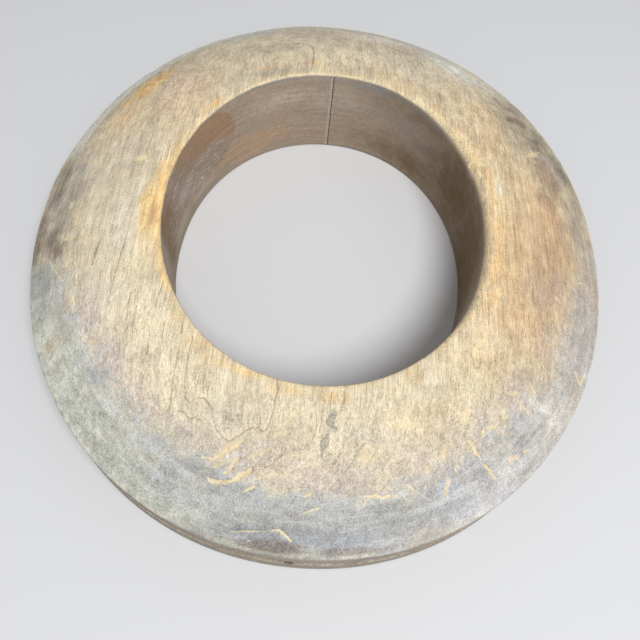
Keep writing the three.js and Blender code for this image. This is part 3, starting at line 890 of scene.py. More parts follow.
DARKER = [
    (126, 76, 12, 22, 2.8, 20), (108, 81, 11, 12, 2.3), (106, 94, 12, 18, 0.8, -45),
    (111, 100, 10, 10, 2.1), (120, 90, 8, 8, 2.0), (138, 62, 9, 22, 2.9, 14), (116, -60, 7, 8, 0.9),
    (-137, -6, 6, 14, 1.9), (101, 76, 7, 9, 1.9), (113, 61, 8, 8, 1.5), (117, 80, 7, 8, 2.9),
    (-146, -52, 6, 14, 0.9), (-149, 18, 8, 14, 1.8), (-130, -38, 6, 6, 0.7), (0, -130, 60, 14, 0.35),
    (62, -114, 30, 18, 0.35, 30), (106, -34, 18, 44, 0.35), (-38, -152, 24, 6, 0.5, -12),
    (25, -150, 14, 6, 0.6), (-100, 8, 8, 12, 0.35), (-116, 94, 7, 7, 0.8), (-124, 78, 6, 10, 0.8, -20),
    (50, 103, 10, 5, 0.5, -10), (116, 110, 12, 16, 1.3, -45), (127, 46, 11, 22, 1.5, 10),
    (141, 10, 7, 26, 2.0), (125, 25, 7, 9, 1.5), (130, 6, 8, 18, 0.8), (101, -87, 8, 8, 1.2),
    (150, -30, 6, 22, 0.5), (112, 62, 7, 8, 0.7), (138, -34, 9, 10, 0.5), (130, -22, 12, 20, 0.6),
    (148, 30, 7, 30, 1.4), (104, -52, 11, 11, 0.8), (109, -80, 12, 7, 0.9), (141, -58, 7, 20, 0.6, -16),
    (84, -98, 14, 9, 0.75, 40), (60, -120, 13, 8, 0.8, 20), (20, -121, 16, 10, 0.45),
    (-31, -122, 12, 9, 0.5), (22, -143, 16, 6, 0.5), (-143, 2, 7, 18, 0.9), (-148, -46, 4, 8, 0.5),
    (-30, -166, 14, 6, 1.4, -8), (6, -171, 9, 4, 0.8), (-10, -153, 14, 6, 0.4),
    (-78, -143, 9, 6, 0.5, -30), (-34, 91, 16, 5, 1.5, 20), (4, 98, 30, 6, 0.6),
    (52, 84, 14, 8, 0.5, -35), (42, 134, 9, 12, 0.9), (-18, 142, 10, 8, 0.5), (-40, 112, 12, 8, 0.7),
    (-97, 108, 11, 7, 0.9, 40), (-128, 68, 6, 14, 0.4, -20), (-126, -89.5, 2.6, 3, 1.1),
    (112, 0, 6, 9, 0.6), (82, 50, 5, 12, 0.4, 20), (-95, 44, 5, 12, 0.3), (94, -22, 9, 14, 0.3),
    (112, -36, 8, 12, 0.4),
]
WARMER = [
    (-118, 62, 13, 28, 1.3, -20), (-88, 66, 22, 30, 1.2), (-70, 102, 16, 10, 0.5),
    (-30, 98, 26, 8, 0.6, 14), (0, 98, 14, 6, 0.6), (-112, 40, 8, 10, 0.6), (40, 89, 30, 7, 1.0, -30),
    (78, 84, 14, 20, 0.8, 40), (58, 70, 7, 16, 0.9, 42), (83, -20, 5, 48, 0.7), (78, 38, 4, 16, 1.0, 18),
    (150, -24, 6, 16, 1.3), (-86, -10, 4, 22, 0.9), (-84, -46, 5, 14, 0.7, 20),
    (-52, -92, 10, 5, 0.9, -35), (76, -72, 10, 10, 0.8), (100, -32, 12, 26, 0.5), (84, -88, 14, 11, 0.5),
    (128, 14, 8, 16, 0.7), (96, -102, 8, 6, 0.5), (132, -88, 7, 8, 0.5), (-122, 48, 8, 8, 0.6),
    (126, -10, 12, 28, 0.7), (104, -60, 12, 22, 0.8), (52, -116, 18, 10, 0.5, 20),
    (-126, -89, 2.8, 3.4, 2.2), (85.5, -24, 4, 30, 1.1), (146, -24, 8, 20, 0.7),
    (-112, 86, 8, 16, 1.0, -33),
]
COOLER = [
    (0, 160, 50, 8, 1.0), (62, 148, 24, 8, 1.3, -30), (-116, 103, 26, 5, 0.7, 52),
    (98, 120, 12, 12, 1.0, -40), (-50, 150, 24, 7, 1.0, 20), (-34, 93, 16, 4, 0.6, 20),
    (-62, 66, 6, 14, 0.5, -40), (-138, -4, 8, 30, 0.5), (-102, -30, 8, 20, 0.5), (-106, -78, 12, 14, 0.6),
    (112, -62, 5, 8, 0.6), (112, -70, 6, 14, 0.8), (92, -143, 16, 8, 0.9, 40), (-40, -125, 16, 8, 0.4),
    (66, -134, 12, 6, 0.6, 30), (100, 18, 6, 10, 0.6), (118, 60, 5, 5, 0.4), (-60, -150, 12, 6, 0.4, -20),
    (100, -102, 9, 8, 0.7), (102, -124, 12, 8, 0.5, 40), (-100, -96, 16, 9, 0.7, -42),
    (74, -148, 14, 7, 0.7, 30), (24, -149, 14, 5, 0.6), (-32, -138, 8, 8, 0.8),
    (-80, -122, 14, 7, 0.5, -38), (86, 126, 12, 12, 0.6, -40), (28, 150, 16, 7, 1.4),
    (10, -168, 60, 5, 0.8), (-60, -126, 10, 6, 0.5), (64, -140, 7, 6, 0.9),
]

# The inner edge of the grey that handling and dust have left round the front, in plan
GREY_EDGE = [
    (-150, -40), (-136, -44), (-127, -50), (-122, -64), (-115.5, -77), (-108, -87), (-99.7, -97),
    (-89.7, -107), (-79.7, -117), (-69.7, -126), (-58, -131), (-44.7, -138), (-26, -149), (-11, -152),
    (14.7, -152), (39.7, -148), (54.7, -139.5), (64.7, -131), (76, -121), (88, -113), (98, -103),
    (104.7, -95), (114.7, -84), (120.5, -72), (126, -57), (130, -44), (133, -32), (138, -18), (148, -4),
    (156, 10),
]

# Tones of the inside wall: degrees round the hole, height, half sizes, strength, and turn where there is one
WALL_WARM = [
    (122, 14, 16, 10, 1.0), (112, 34, 12, 16, 0.4), (100, 12, 16, 8, 0.4), (72, 22, 10, 10, 0.3),
    (148, 52, 10, 5, 0.4), (137, 40, 6, 12, 0.6),
]
WALL_PALE = [
    (150, 10, 9, 3.4, 1.0), (170, 12, 12, 6, 0.9), (163, 28, 8, 8, 0.9), (96, 38, 8, 14, 0.5),
    (112, 42, 16, 8, 0.6), (86, 40, 7, 12, 0.5), (26, 54, 3, 4, 0.8), (202, 30, 8, 34, 0.65),
    (91.8, 30, 0.45, 60, 1.2), (180, 8, 10, 6, 0.5), (156, 20, 8, 6, 0.5),
]
WALL_SCRAPED = [
    (154, 25, 17, 12, 1.2), (168, 36, 12, 12, 1.1), (178, 24, 10, 18, 0.8), (142, 27, 11, 9, 1.1),
    (174, 50, 10, 10, 0.7), (160, 40, 10, 5, 0.6),
]
# Darker places: painted shade on the right of the wall, darkest under the lip there, and darker wood at the
# left by the stain
WALL_SHADE_AND_DARK = [
    (184, 28, 8, 22, 1.3), (174, 14, 4, 6, 0.5), (192, 48, 6, 14, 0.9), (60, 50, 26, 9, 0.5),
    (60, 12, 24, 14, 0.6), (30, 30, 22, 30, 0.8), (0, 24, 26, 30, 1.0), (8, 46, 16, 10, 0.6),
    (25, 36, 5, 16, 0.4),
]
WALL_COOL = [
    (110, 57, 34, 2.6, 0.8), (76, 54, 8, 5, 1.0), (60, 54, 20, 4, 0.6), (90, 54, 14, 4, 0.5),
    (26, 55, 3, 4, 0.6), (60, 38, 20, 12, 0.4), (140, 57.5, 14, 2, 0.6),
]

# The rounded end of the old stain, and the height of its middle
STAIN_END = 129
STAIN_MIDDLE = 36
STAIN_HALF_HEIGHT = 22
STAIN_END_SWEEP = 16
STAIN_FADE = 200


def patches(x, y, spots):
    """The strongest of the soft oval spots at each point."""
    total = np.zeros(x.shape)
    for spot in spots:
        cx, cy, half_x, half_y, strength, degrees = (*spot, 0)[:6]
        c = math.cos(math.radians(degrees))
        s = math.sin(math.radians(degrees))
        u = ((x - cx) * c + (y - cy) * s) / half_x
        v = (-(x - cx) * s + (y - cy) * c) / half_y
        total = np.maximum(total, strength * np.exp(-(u * u + v * v) * 0.9))
    return total


def lining(x, y, normals):
    """How far each point's face turns in towards the hole: 1 on the inside wall, 0 on top."""
    radial = np.stack([x, y + HOLE_FORWARD], axis=-1)
    radial /= np.linalg.norm(radial, axis=1)[:, None]
    return -(normals[:, 0] * radial[:, 0] + normals[:, 1] * radial[:, 1])


def paint(piece, film=0):
    """Stores where the piece is worn, grey, grimy, reddish, gouged, stained and so on, and where a sheen and
    shade are painted, for its finish.
    """
    x, y, z = read_points(piece).T
    share = oval_share(x, y)
    turned_in = lining(x, y, read_normals(piece))
    if film:
        # The film is too thin for its corners to tell the wall from its sides
        turned_in = np.where(z < BLOCK_THICKNESS - LIP_RADIUS, 1, turned_in)
    inside = (share < INSIDE_SHARE) & (z > 0.2) & (turned_in > 0.05)
    near_lip = inside & (z > BLOCK_THICKNESS - WORN_LIP)
    wall = np.where(inside, step_up(turned_in, *WALL_TURNED), 0)
    # The lip's rounded edge is painted as a pale highlight line, in the worn wood's tones
    lip = np.where(near_lip, between(turned_in, *LIP_TURNED), 0)
    dome = (z > RIM_TOP - 0.5) & (wall < 0.5) & (share > 0)
    rim = (share > 0.96) & (z < RIM_TOP + 0.5)
    angle = np.degrees(np.arctan2(y + HOLE_FORWARD, x))
    around = np.where(angle < -60, angle + 360, angle)

    # The outer corner at the back left is rubbed pale, with a painted sheen over it, and the whole corner
    # shows fresh wood here and there
    rubbed = rubbed_flat(share, angle, z, 16, 12)
    corner = step_up(share, 0.965, 0.99) * (z > RIM_TOP - 3)

    # The old stain on the inside wall, with a rounded end
    height = np.clip((z - STAIN_MIDDLE) / STAIN_HALF_HEIGHT, -1, 1)
    end = STAIN_END + STAIN_END_SWEEP * (1 - np.sqrt(1 - height * height))
    stain = between(around, end - 0.8, end + 0.8, STAIN_FADE - 14, STAIN_FADE) * (wall > 0)
    stain_foot = STAIN_MIDDLE - STAIN_HALF_HEIGHT
    stain = stain * step_up(z, stain_foot, stain_foot + 3)

    # The grey band widens and narrows round the front
    edge_x, edge_y = np.array(GREY_EDGE).T
    edge_angle = np.degrees(np.arctan2(edge_y + HOLE_FORWARD, edge_x))
    edge_share = np.interp(angle, edge_angle, oval_share(edge_x, edge_y), left=1.3, right=1.3)
    grey = step_up((share - edge_share) * NOMINAL_BRIDGE, -12, 14) * dome

    # The groove's lower side is darkened: dirt, and painted shade in the hollow
    groove = step_down(np.abs(z - GROOVE_HEIGHT + 1), 2.0, 4.4) * rim
    # The slot is painted near black, as painted shade in its hollow
    slot_x, slot_z, half_length, half_height, _ = SLOT
    slot = step_down(np.abs(x - slot_x) / half_length, 0.8, 1.1)
    slot = slot * step_down(np.abs(z - slot_z) / half_height, 0.8, 1.3) * rim * (y < 0)

    marks = {kind: np.zeros(len(x)) for kind in ("fresh", "growth", "iron", "chalk")}
    for number, mark in enumerate(MARKS):
        kind, width, _, path = mark
        near = dome & (path_distance(x, y, path) < width / 2 + REFINE_MARGIN)
        strength = mark_strength(x[near], y[near], mark, number) * plainness(mark)
        marks[kind][near] = np.maximum(marks[kind][near], strength)
    across = np.where(rim, NOMINAL_BRIDGE + RIM_HEIGHT - z, share * NOMINAL_BRIDGE)
    across = np.where(inside, z - BLOCK_THICKNESS, across)

    def tones(*lists):
        return [patches(x, y, spots) * dome for spots in lists]

    def wall_tones(*lists):
        return [patches(around, z, spots) * (wall > 0) for spots in lists]

    worn, painted_sheen = tones(WORN, PAINTED_SHEEN)
    bright_side = np.where((angle > 158) | (angle < -140), 0.85, 0.4)
    worn = np.maximum(worn, bright_side * step_down(share, 0.02, 0.11) * dome)
    painted_sheen = np.maximum(painted_sheen, rubbed * 0.9)
    store(piece, "tones", worn, *tones(PALE, MAUVE, BLUED))
    store(piece, "tones_too", *tones(GREENED, GRIME_AND_SHADE, REDDISH), painted_sheen)
    store(piece, "casts", *tones(TANNED, DULLED, SCUFFED), step_up(x, -30, 60))
    store(piece, "light", *tones(LIGHTER, DARKER, WARMER, COOLER))
    store(piece, "marks", *marks.values())
    store(piece, "places", wall, rim, lip, corner)
    store(piece, "wall_tones", *wall_tones(WALL_WARM, WALL_PALE, WALL_SCRAPED, WALL_SHADE_AND_DARK))
    store(piece, "dirt_and_shade", groove, stain, across, film * wall)
    store(piece, "edges", *wall_tones(WALL_COOL), slot, grey)


def store(piece, name, *channels):
    """Keeps up to four values a vertex as one colour attribute."""
    layer = piece.data.color_attributes.new(name, "FLOAT_COLOR", "POINT")
    values = np.ones((len(piece.data.vertices), 4))
    for k, channel in enumerate(channels):
        values[:, k] = channel
    layer.data.foreach_set("color", values.ravel())


class Finish:
    """One procedural finish, built node by node."""

    def __init__(self, name):
        self.material = bpy.data.materials.new(name)
        self.material.use_nodes = True
        self.tree = self.material.node_tree
        self.tree.nodes.clear()
        self.shader = self.add("ShaderNodeBsdfPrincipled")
        out = self.add("ShaderNodeOutputMaterial")
        self.tree.links.new(self.shader.outputs["BSDF"], out.inputs["Surface"])
        where = self.add("ShaderNodeTexCoord").outputs["Object"]
        self.place = self.vector("SCALE", where, scale=1 / MM)

    def add(self, kind, **settings):
        made = self.tree.nodes.new(kind)
        for name, value in settings.items():
            setattr(made, name, value)
        return made

    def feed(self, socket, value):
        if isinstance(value, bpy.types.NodeSocket):
            self.tree.links.new(value, socket)
        else:
            socket.default_value = value

    def fill(self, made, values):
        for name, value in values.items():
            self.feed(made.inputs[name], value)

    def vector(self, operation, a, b=None, scale=None):
        made = self.add("ShaderNodeVectorMath", operation=operation)
        self.feed(made.inputs[0], a)
        if b is not None:
            self.feed(made.inputs[1], b)
        if scale is not None:
            self.feed(made.inputs["Scale"], scale)
        return made.outputs[0]

    def maths(self, operation, *values):
        made = self.add("ShaderNodeMath", operation=operation)
        for socket, value in zip(made.inputs, values):
            self.feed(socket, value)
        return made.outputs[0]

    def chain(self, operation, values):
        result = values[0]
        for value in values[1:]:
            result = self.maths(operation, result, value)
        return result

    def plus(self, *values):
        return self.chain("ADD", values)

    def less(self, *values):
        return self.chain("SUBTRACT", values)

    def times(self, *values):
        return self.chain("MULTIPLY", values)

    def most(self, *values):
        return self.chain("MAXIMUM", values)

    def off(self, value, amount):
        """A noise from 0 to 1, brought about zero and scaled."""
        return self.times(self.less(value, 0.5), amount)

    def ramp(self, value, start, end, low=0.0, high=1.0):
        """value, smoothly taken from start..end to low..high"""
        made = self.add("ShaderNodeMapRange", interpolation_type="SMOOTHSTEP")
        self.fill(made, {"Value": value, "From Min": start, "From Max": end, "To Min": low, "To Max": high})
        return made.outputs["Result"]

    def blend(self, share, under, over, how="MIX"):
        made = self.add("ShaderNodeMix", data_type="RGBA", blend_type=how, clamp_factor=True)
        for socket, value in ((0, share), (6, under), (7, over)):
            self.feed(made.inputs[socket], value)
        return made.outputs[2]

    def shaded(self, colour, factor):
        """The colour, made lighter or darker by a factor near 1."""
        grey = self.add("ShaderNodeCombineColor")
        for socket in grey.inputs[:3]:
            self.feed(socket, factor)
        return self.blend(1.0, colour, grey.outputs[0], "MULTIPLY")

    def split(self, vector):
        made = self.add("ShaderNodeSeparateXYZ")
        self.feed(made.inputs[0], vector)
        return made.outputs[0], made.outputs[1], made.outputs[2]

    def channels(self, name):
        layer = self.add("ShaderNodeAttribute", attribute_name=name, attribute_type="GEOMETRY")
        parts = self.add("ShaderNodeSeparateColor")
        self.feed(parts.inputs[0], layer.outputs["Color"])
        return parts.outputs[0], parts.outputs[1], parts.outputs[2], layer.outputs["Alpha"]

    def noise(self, where, detail, roughness):
        made = self.add("ShaderNodeTexNoise")
        self.fill(made, {"Vector": where, "Scale": 1.0, "Detail": detail, "Roughness": roughness})
        return made

    def soft(self, size, detail=2.0, roughness=0.5, turn=None, shift=(0, 0, 0)):
        """Soft noise whose blotches are about size millimetres along x, y and z."""
        where = self.place
        if turn is not None:
            spun = self.add("ShaderNodeVectorRotate", rotation_type="Z_AXIS")
            self.fill(spun, {"Vector": where, "Angle": math.radians(turn)})
            where = spun.outputs[0]
        scaled = self.vector("MULTIPLY", where, tuple(1 / s for s in size))
        return self.noise(self.vector("ADD", scaled, shift), detail, roughness)

    def cloud(self, *size, **how):
        return self.soft(size, **how).outputs["Fac"]

    def streaks(self, across, wide, long, detail=3.0, roughness=0.55, shift=0.0):
        """Noise drawn out round the block: wide millimetres across the section, long ones round it."""
        x, y, _ = self.split(self.place)
        where = self.add("ShaderNodeCombineXYZ")
        self.feed(where.inputs[0], self.maths("MULTIPLY_ADD", across, 1 / wide, shift))
        self.feed(where.inputs[1], self.maths("DIVIDE", x, long))
        self.feed(where.inputs[2], self.maths("DIVIDE", y, long))
        return self.noise(where.outputs[0], detail, roughness).outputs["Fac"]

    def close(self, colour, roughness, height):
        """Gives the shader its colour, its roughness and its relief in millimetres."""
        relief = self.add("ShaderNodeBump")
        self.fill(relief, {"Strength": 1.0, "Distance": MM, "Height": height})
        self.fill(self.shader, {"Base Color": colour, "Roughness": roughness, "Normal": relief.outputs[0]})
        return self.material


def tint(*levels):
    """A colour as it is seen, red, green and blue from 0 to 255, in the units that the shader takes."""
    shares = [level / 255 for level in levels]
    return tuple(s / 12.92 if s <= 0.04045 else ((s + 0.055) / 1.055) ** 2.4 for s in shares) + (1.0,)


# Colours of the wood in its states
PALE_WOOD = tint(232, 219, 190)
PALE_DEEP = tint(218, 202, 173)
TAN_WOOD = tint(232, 206, 163)
TAN_DEEP = tint(214, 186, 145)
DULL_WOOD = tint(210, 194, 172)
WORN_WOOD = tint(252, 224, 162)
WORN_DEEP = tint(238, 195, 128)
CREAM_WOOD = tint(240, 227, 192)
MAUVE_WOOD = tint(199, 181, 164)
MAUVE_LIGHT = tint(219, 205, 190)
BLUE_GREY = tint(163, 163, 161)
BLUE_LIGHT = tint(194, 195, 193)
GREEN_GREY = tint(186, 187, 174)
GREEN_LIGHT = tint(217, 217, 205)
SHEEN_HIGHLIGHT = tint(234, 232, 219)
DARK_WOOD = tint(120, 104, 92)
RED_WOOD = tint(186, 152, 124)
FRESH_WOOD = tint(252, 236, 190)
FRESH_DEEP = tint(230, 202, 150)
GROWTH_BROWN = tint(140, 117, 92)
FLECK_BROWN = tint(190, 172, 146)
IRON_STAIN = tint(116, 114, 110)
CHALK = tint(240, 239, 234)
WALL_WOOD = tint(192, 173, 152)
WALL_WARM_WOOD = tint(213, 179, 146)
WALL_PALE_WOOD = tint(222, 208, 190)
WALL_SHADE_AND_DARK_WOOD = tint(130, 103, 58)
WALL_COOL_WOOD = tint(160, 162, 160)
WALL_STAIN = tint(188, 152, 120)
WALL_SCRAPED_WOOD = tint(180, 160, 146)
WALL_SCRATCH = tint(246, 234, 214)
RIM_WOOD = tint(196, 186, 174)
RIM_DEEP = tint(148, 134, 120)
GROOVE_DIRT_AND_SHADE = tint(122, 106, 92)
SLOT_SHADE = tint(24, 21, 18)
SEAM_DARK = tint(66, 58, 52)
DUST_GREY = tint(177, 173, 168)
DUST_LIGHT = tint(203, 198, 192)
DOWEL_WOOD = tint(214, 190, 148)
DOWEL_DEEP = tint(188, 156, 112)
DOWEL_GRAIN = tint(150, 118, 80)
GLUE_SMEAR = tint(128, 104, 72)
FILED_IRON = tint(158, 150, 136)
FILED_LIGHT = tint(188, 180, 164)
RUSTY_IRON = tint(128, 118, 106)
BENCH_SEEN = tint(226, 227, 229)
BENCH_LIT = tint(84, 88, 96)
WARM_CAST = (1.08, 0.95, 0.82, 1)
COOL_CAST = (0.94, 1.0, 1.16, 1)

# The slope of the scratches on the wall, and the turns and sizes of the fine strokes on the dome
WALL_SCRATCH_SLOPE = 0.33
STROKES = [(38, (0.3, 6, 3)), (-52, (0.3, 5, 3)), (80, (0.35, 8, 3)), (12, (0.3, 4, 3))]

# The growth rings of the two planks: where the tree's heart lay, and how far apart they stand
LEFT_RING_MIDDLE = (-35.0, 58.5)
LEFT_RING_FLATNESS = 3.3
LEFT_RING_SPACING = 2.1
RIGHT_RING_MIDDLE = (8.0, 72.0)
RIGHT_RING_SPACING = 2.3


def left_rings(f, x, z):
    """Distance from the tree's heart in the flat-sawn left plank: wide, shallow rings."""
    u = f.maths("ABSOLUTE", f.maths("DIVIDE", f.less(x, LEFT_RING_MIDDLE[0]), LEFT_RING_FLATNESS))
    v = f.maths("ABSOLUTE", f.less(z, LEFT_RING_MIDDLE[1]))
    cubes = f.plus(f.maths("POWER", u, 3), f.maths("POWER", v, 3))
    return f.maths("DIVIDE", f.maths("POWER", cubes, 1 / 3), LEFT_RING_SPACING)


def right_rings(f, x, z):
    """Distance from the tree's heart in the right plank: steep, close rings."""
    u = f.less(x, RIGHT_RING_MIDDLE[0])
    v = f.less(z, RIGHT_RING_MIDDLE[1])
    return f.maths("DIVIDE", f.maths("SQRT", f.plus(f.times(u, u), f.times(v, v))), RIGHT_RING_SPACING)


def plank_finish(name, rings, line_strength, pore_strength):
    """Bare old wood, with the tones and marks that its piece stores."""
    f = Finish(name)
    worn, pale_spots, mauve, blued = f.channels("tones")
    greened, grime_and_shade, red, painted_sheen = f.channels("tones_too")
    tanned, dulled, scuffed, to_right = f.channels("casts")
    lighter, darker, warmer, cooler = f.channels("light")
    fresh, growth, iron, chalk = f.channels("marks")
    wall, rim, lip, corner = f.channels("places")
    wall_warm, wall_pale, wall_scraped, wall_shade_and_dark = f.channels("wall_tones")
    groove, stain, across, seam = f.channels("dirt_and_shade")
    wall_cool, slot, grey = f.channels("edges")[:3]
    open_top = f.less(1.0, wall)

    # Growth rings of the solid wood
    wander_x, wander_z, _ = f.split(f.soft((18, 110, 14), detail=3.0).outputs["Color"])
    x, y, height_z = f.split(f.place)
    ring = rings(f, f.plus(x, f.off(wander_x, 8.0)), f.plus(height_z, f.off(wander_z, 3.0)))
    near_line = f.maths("PINGPONG", ring, 0.5)
    broken = f.ramp(f.cloud(2.6, 22, 2.6, detail=3.0), 0.5, 0.68)
    ring_line = f.times(f.ramp(near_line, 0.0, 0.14, 1.0, 0.0), broken)
    ring_tone = f.less(f.maths("FRACT", ring), 0.5)

    # Fibres, open pores and mottling
    fibres = f.cloud(0.5, 13, 0.5, detail=3.0, roughness=0.6)
    strands = f.cloud(1.4, 46, 1.4, detail=4.0, roughness=0.6)
    pores = f.ramp(f.cloud(0.42, 4.5, 0.42, detail=1.0, shift=(7.3, 1.1, 4.2)), 0.66, 0.76)
    mottle = f.cloud(9, 12, 9, detail=5.0, roughness=0.6)
    small_mottle = f.cloud(2.2, 3.0, 2.2, detail=4.0, roughness=0.62, shift=(2.2, 8.8, 3.1))
    specks = f.cloud(0.62, 0.7, 0.62, detail=2.0, roughness=0.6)
    grit = f.cloud(1.1, 1.2, 1.1, detail=3.0, roughness=0.7, shift=(9.1, 2.7, 0.4))
    broad = f.cloud(40, 60, 40, detail=2.0)
    wide_strands = f.cloud(4.5, 60, 4.5, detail=3.0, shift=(5.9, 1.3, 8.4))
    blotches = f.cloud(7, 8, 7, detail=4.0, roughness=0.6, shift=(4.2, 7.7, 1.9))
    dapples = f.cloud(3.6, 4.4, 3.6, detail=3.0, roughness=0.6, shift=(8.3, 0.6, 5.1))
    wide_streaks = f.streaks(across, 5.0, 45, detail=4.0)
    fine_streaks = f.streaks(across, 0.9, 16, detail=3.0, roughness=0.6, shift=5.0)
    left_strokes = f.cloud(1.2, 9, 3, detail=3.0, roughness=0.6, turn=44)
    right_strokes = f.cloud(1.2, 7, 3, detail=3.0, roughness=0.6, turn=-48)
    slanting = f.plus(f.times(left_strokes, f.less(1.0, to_right)), f.times(right_strokes, to_right))

    # Edges of the broad tones are broken up by the mottling, and by strokes where the block is scuffed
    unrest = f.plus(f.off(mottle, 1.0), f.off(small_mottle, 0.5), f.off(grit, 0.2))
    unrest = f.plus(unrest, f.times(f.off(slanting, 1.6), scuffed))

    def broken_up(mask, amount=1.0, low=0.15, high=0.85):
        return f.ramp(f.maths("MULTIPLY_ADD", unrest, amount, mask), low, high)

    def mixed(noise, low, high, light, deep):
        return f.blend(f.ramp(noise, low, high), light, deep)

    pale = mixed(mottle, 0.32, 0.68, PALE_WOOD, PALE_DEEP)
    tan = mixed(mottle, 0.32, 0.68, TAN_WOOD, TAN_DEEP)
    wood = f.blend(broken_up(tanned, 0.7, 0.0, 1.0), pale, tan)
    wood = f.blend(f.times(broken_up(dulled, 0.9, 0.1, 0.95), 0.75), wood, DULL_WOOD)
    wood = f.blend(f.ramp(broad, 0.42, 0.72, 0.0, 0.25), wood, CREAM_WOOD)

    mauve_mask = broken_up(mauve, 1.1, 0.05, 0.9)
    wood = f.blend(f.times(mauve_mask, 0.85), wood, mixed(small_mottle, 0.35, 0.65, MAUVE_WOOD, MAUVE_LIGHT))
    scuffs = f.times(f.ramp(slanting, 0.5, 0.64), broken_up(scuffed, 0.6, 0.1, 0.9))
    scuffs = f.times(scuffs, f.ramp(mauve_mask, 0.0, 0.7, 0.35, 1.0))
    wood = f.blend(f.times(scuffs, 0.45), wood, FRESH_WOOD)

    # Small chips where the block is scuffed
    chips = f.ramp(f.cloud(1.8, 2.4, 1.8, detail=3.0, roughness=0.7, shift=(6.6, 0.9, 2.9)), 0.58, 0.66)
    wood = f.blend(f.times(chips, scuffed, 0.55), wood, CREAM_WOOD)

    # The greys of handling and dust
    streaky = f.plus(f.off(mottle, 0.6), wide_streaks)
    dust = mixed(streaky, 0.34, 0.64, DUST_GREY, DUST_LIGHT)
    dust = f.blend(to_right, mixed(streaky, 0.34, 0.64, GREEN_GREY, GREEN_LIGHT), dust)
    dust_unrest = f.plus(f.off(mottle, 0.9), f.off(slanting, 1.7), f.off(grit, 0.3))
    dust_mask = f.ramp(f.plus(grey, dust_unrest), 0.15, 0.95)
    wood = f.blend(f.times(dust_mask, 0.9), wood, dust)
    blue_mask = broken_up(blued, 1.0, 0.1, 0.8)
    wood = f.blend(f.times(blue_mask, 0.92), wood, mixed(streaky, 0.36, 0.66, BLUE_GREY, BLUE_LIGHT))
    greens = mixed(f.plus(f.off(small_mottle, 0.5), mottle), 0.36, 0.64, GREEN_GREY, GREEN_LIGHT)
    green_mask = broken_up(greened, 0.8, 0.1, 0.85)
    wood = f.blend(f.times(green_mask, 0.88), wood, greens)
    grey_mask = f.most(dust_mask, blue_mask, green_mask)

    # Pale, worn and reddish places, a painted sheen, and grime with painted shade along the front edge
    # Grime, with painted shade along the front edge, is blended in below as dark wood
    soiled_and_shaded = f.plus(grime_and_shade, f.off(fine_streaks, 0.8))
    for mask, amount, low, high, share, colour in (
            (pale_spots, 1.0, 0.2, 0.95, 0.85, CREAM_WOOD),
            (worn, 0.8, 0.15, 0.95, 0.9, mixed(small_mottle, 0.35, 0.7, WORN_WOOD, WORN_DEEP)),
            (red, 0.9, 0.15, 0.95, 0.75, RED_WOOD),
            (painted_sheen, 0.9, 0.2, 0.9, 0.8, SHEEN_HIGHLIGHT),
            (soiled_and_shaded, 0.9, 0.15, 0.95, 0.8, DARK_WOOD)):
        wood = f.blend(f.times(broken_up(mask, amount, low, high), share), wood, colour)

    # Broad lightening and warmth, a little uneven; the lighter and cooler places at the back right paint a
    # sheen
    patchy = f.ramp(f.plus(mottle, f.off(small_mottle, 0.5)), 0.3, 0.7, 0.78, 1.22)
    wood = f.shaded(wood, f.plus(f.times(f.less(lighter, darker), patchy, 0.2), 1.0))
    wood = f.blend(f.times(warmer, patchy, 0.8), wood, WARM_CAST, "MULTIPLY")
    wood = f.blend(f.times(cooler, patchy, 0.8), wood, COOL_CAST, "MULTIPLY")

    # The inside wall, turned smooth
    turned = f.streaks(across, 1.0, 40, detail=4.0, roughness=0.6)
    wall_mottle = f.cloud(9, 9, 7, detail=5.0, roughness=0.6, shift=(1.7, 4.4, 6.2))
    wall_unrest = f.plus(f.off(wall_mottle, 0.9), f.off(turned, 0.5), f.off(small_mottle, 0.4))

    def wall_part(mask, *shares):
        return f.times(f.ramp(f.plus(mask, wall_unrest), 0.1, 0.9), *shares)

    stain_mask = f.ramp(f.plus(stain, f.off(grit, 0.25)), 0.35, 0.65)
    scrapes = f.ramp(f.cloud(7, 7, 0.4, detail=3.0, roughness=0.65), 0.54, 0.66)
    scrapes = f.most(scrapes, f.ramp(f.cloud(2.4, 2.4, 1.4, detail=3.0, roughness=0.7), 0.6, 0.72))
    scrapes = f.times(scrapes, f.most(wall_scraped, f.times(wall_pale, 0.6)), 0.75)
    # Slanting scratches over the stain
    slant = f.maths("MULTIPLY_ADD", y, WALL_SCRATCH_SLOPE, height_z)
    scratches = f.ramp(f.streaks(slant, 0.5, 16, detail=1.0, shift=2.0), 0.6, 0.68)
    scratches = f.most(scratches, f.ramp(f.streaks(slant, 1.0, 6, detail=1.0, shift=8.0), 0.64, 0.7))
    inner = WALL_WOOD
    # Among these, the wall's dark places carry painted shade on the right of the wall
    for mask, colour in (
            (wall_part(wall_warm, 0.8), WALL_WARM_WOOD),
            (wall_part(wall_shade_and_dark, 0.85), WALL_SHADE_AND_DARK_WOOD),
            (f.times(stain_mask, 0.9), WALL_STAIN),
            (wall_part(wall_scraped, stain_mask, 0.9), WALL_SCRAPED_WOOD),
            (wall_part(wall_shade_and_dark, stain_mask, 0.5), WALL_SHADE_AND_DARK_WOOD),
            (wall_part(wall_pale, 0.7), WALL_PALE_WOOD),
            (scrapes, WALL_PALE_WOOD),
            (f.times(scratches, f.ramp(wall_scraped, 0.2, 0.8), 0.85), WALL_SCRATCH),
            (wall_part(wall_cool, 0.7), WALL_COOL_WOOD)):
        inner = f.blend(mask, inner, colour)
    wood = f.blend(wall, wood, inner)
    wood = f.blend(f.times(seam, 0.9), wood, SEAM_DARK)

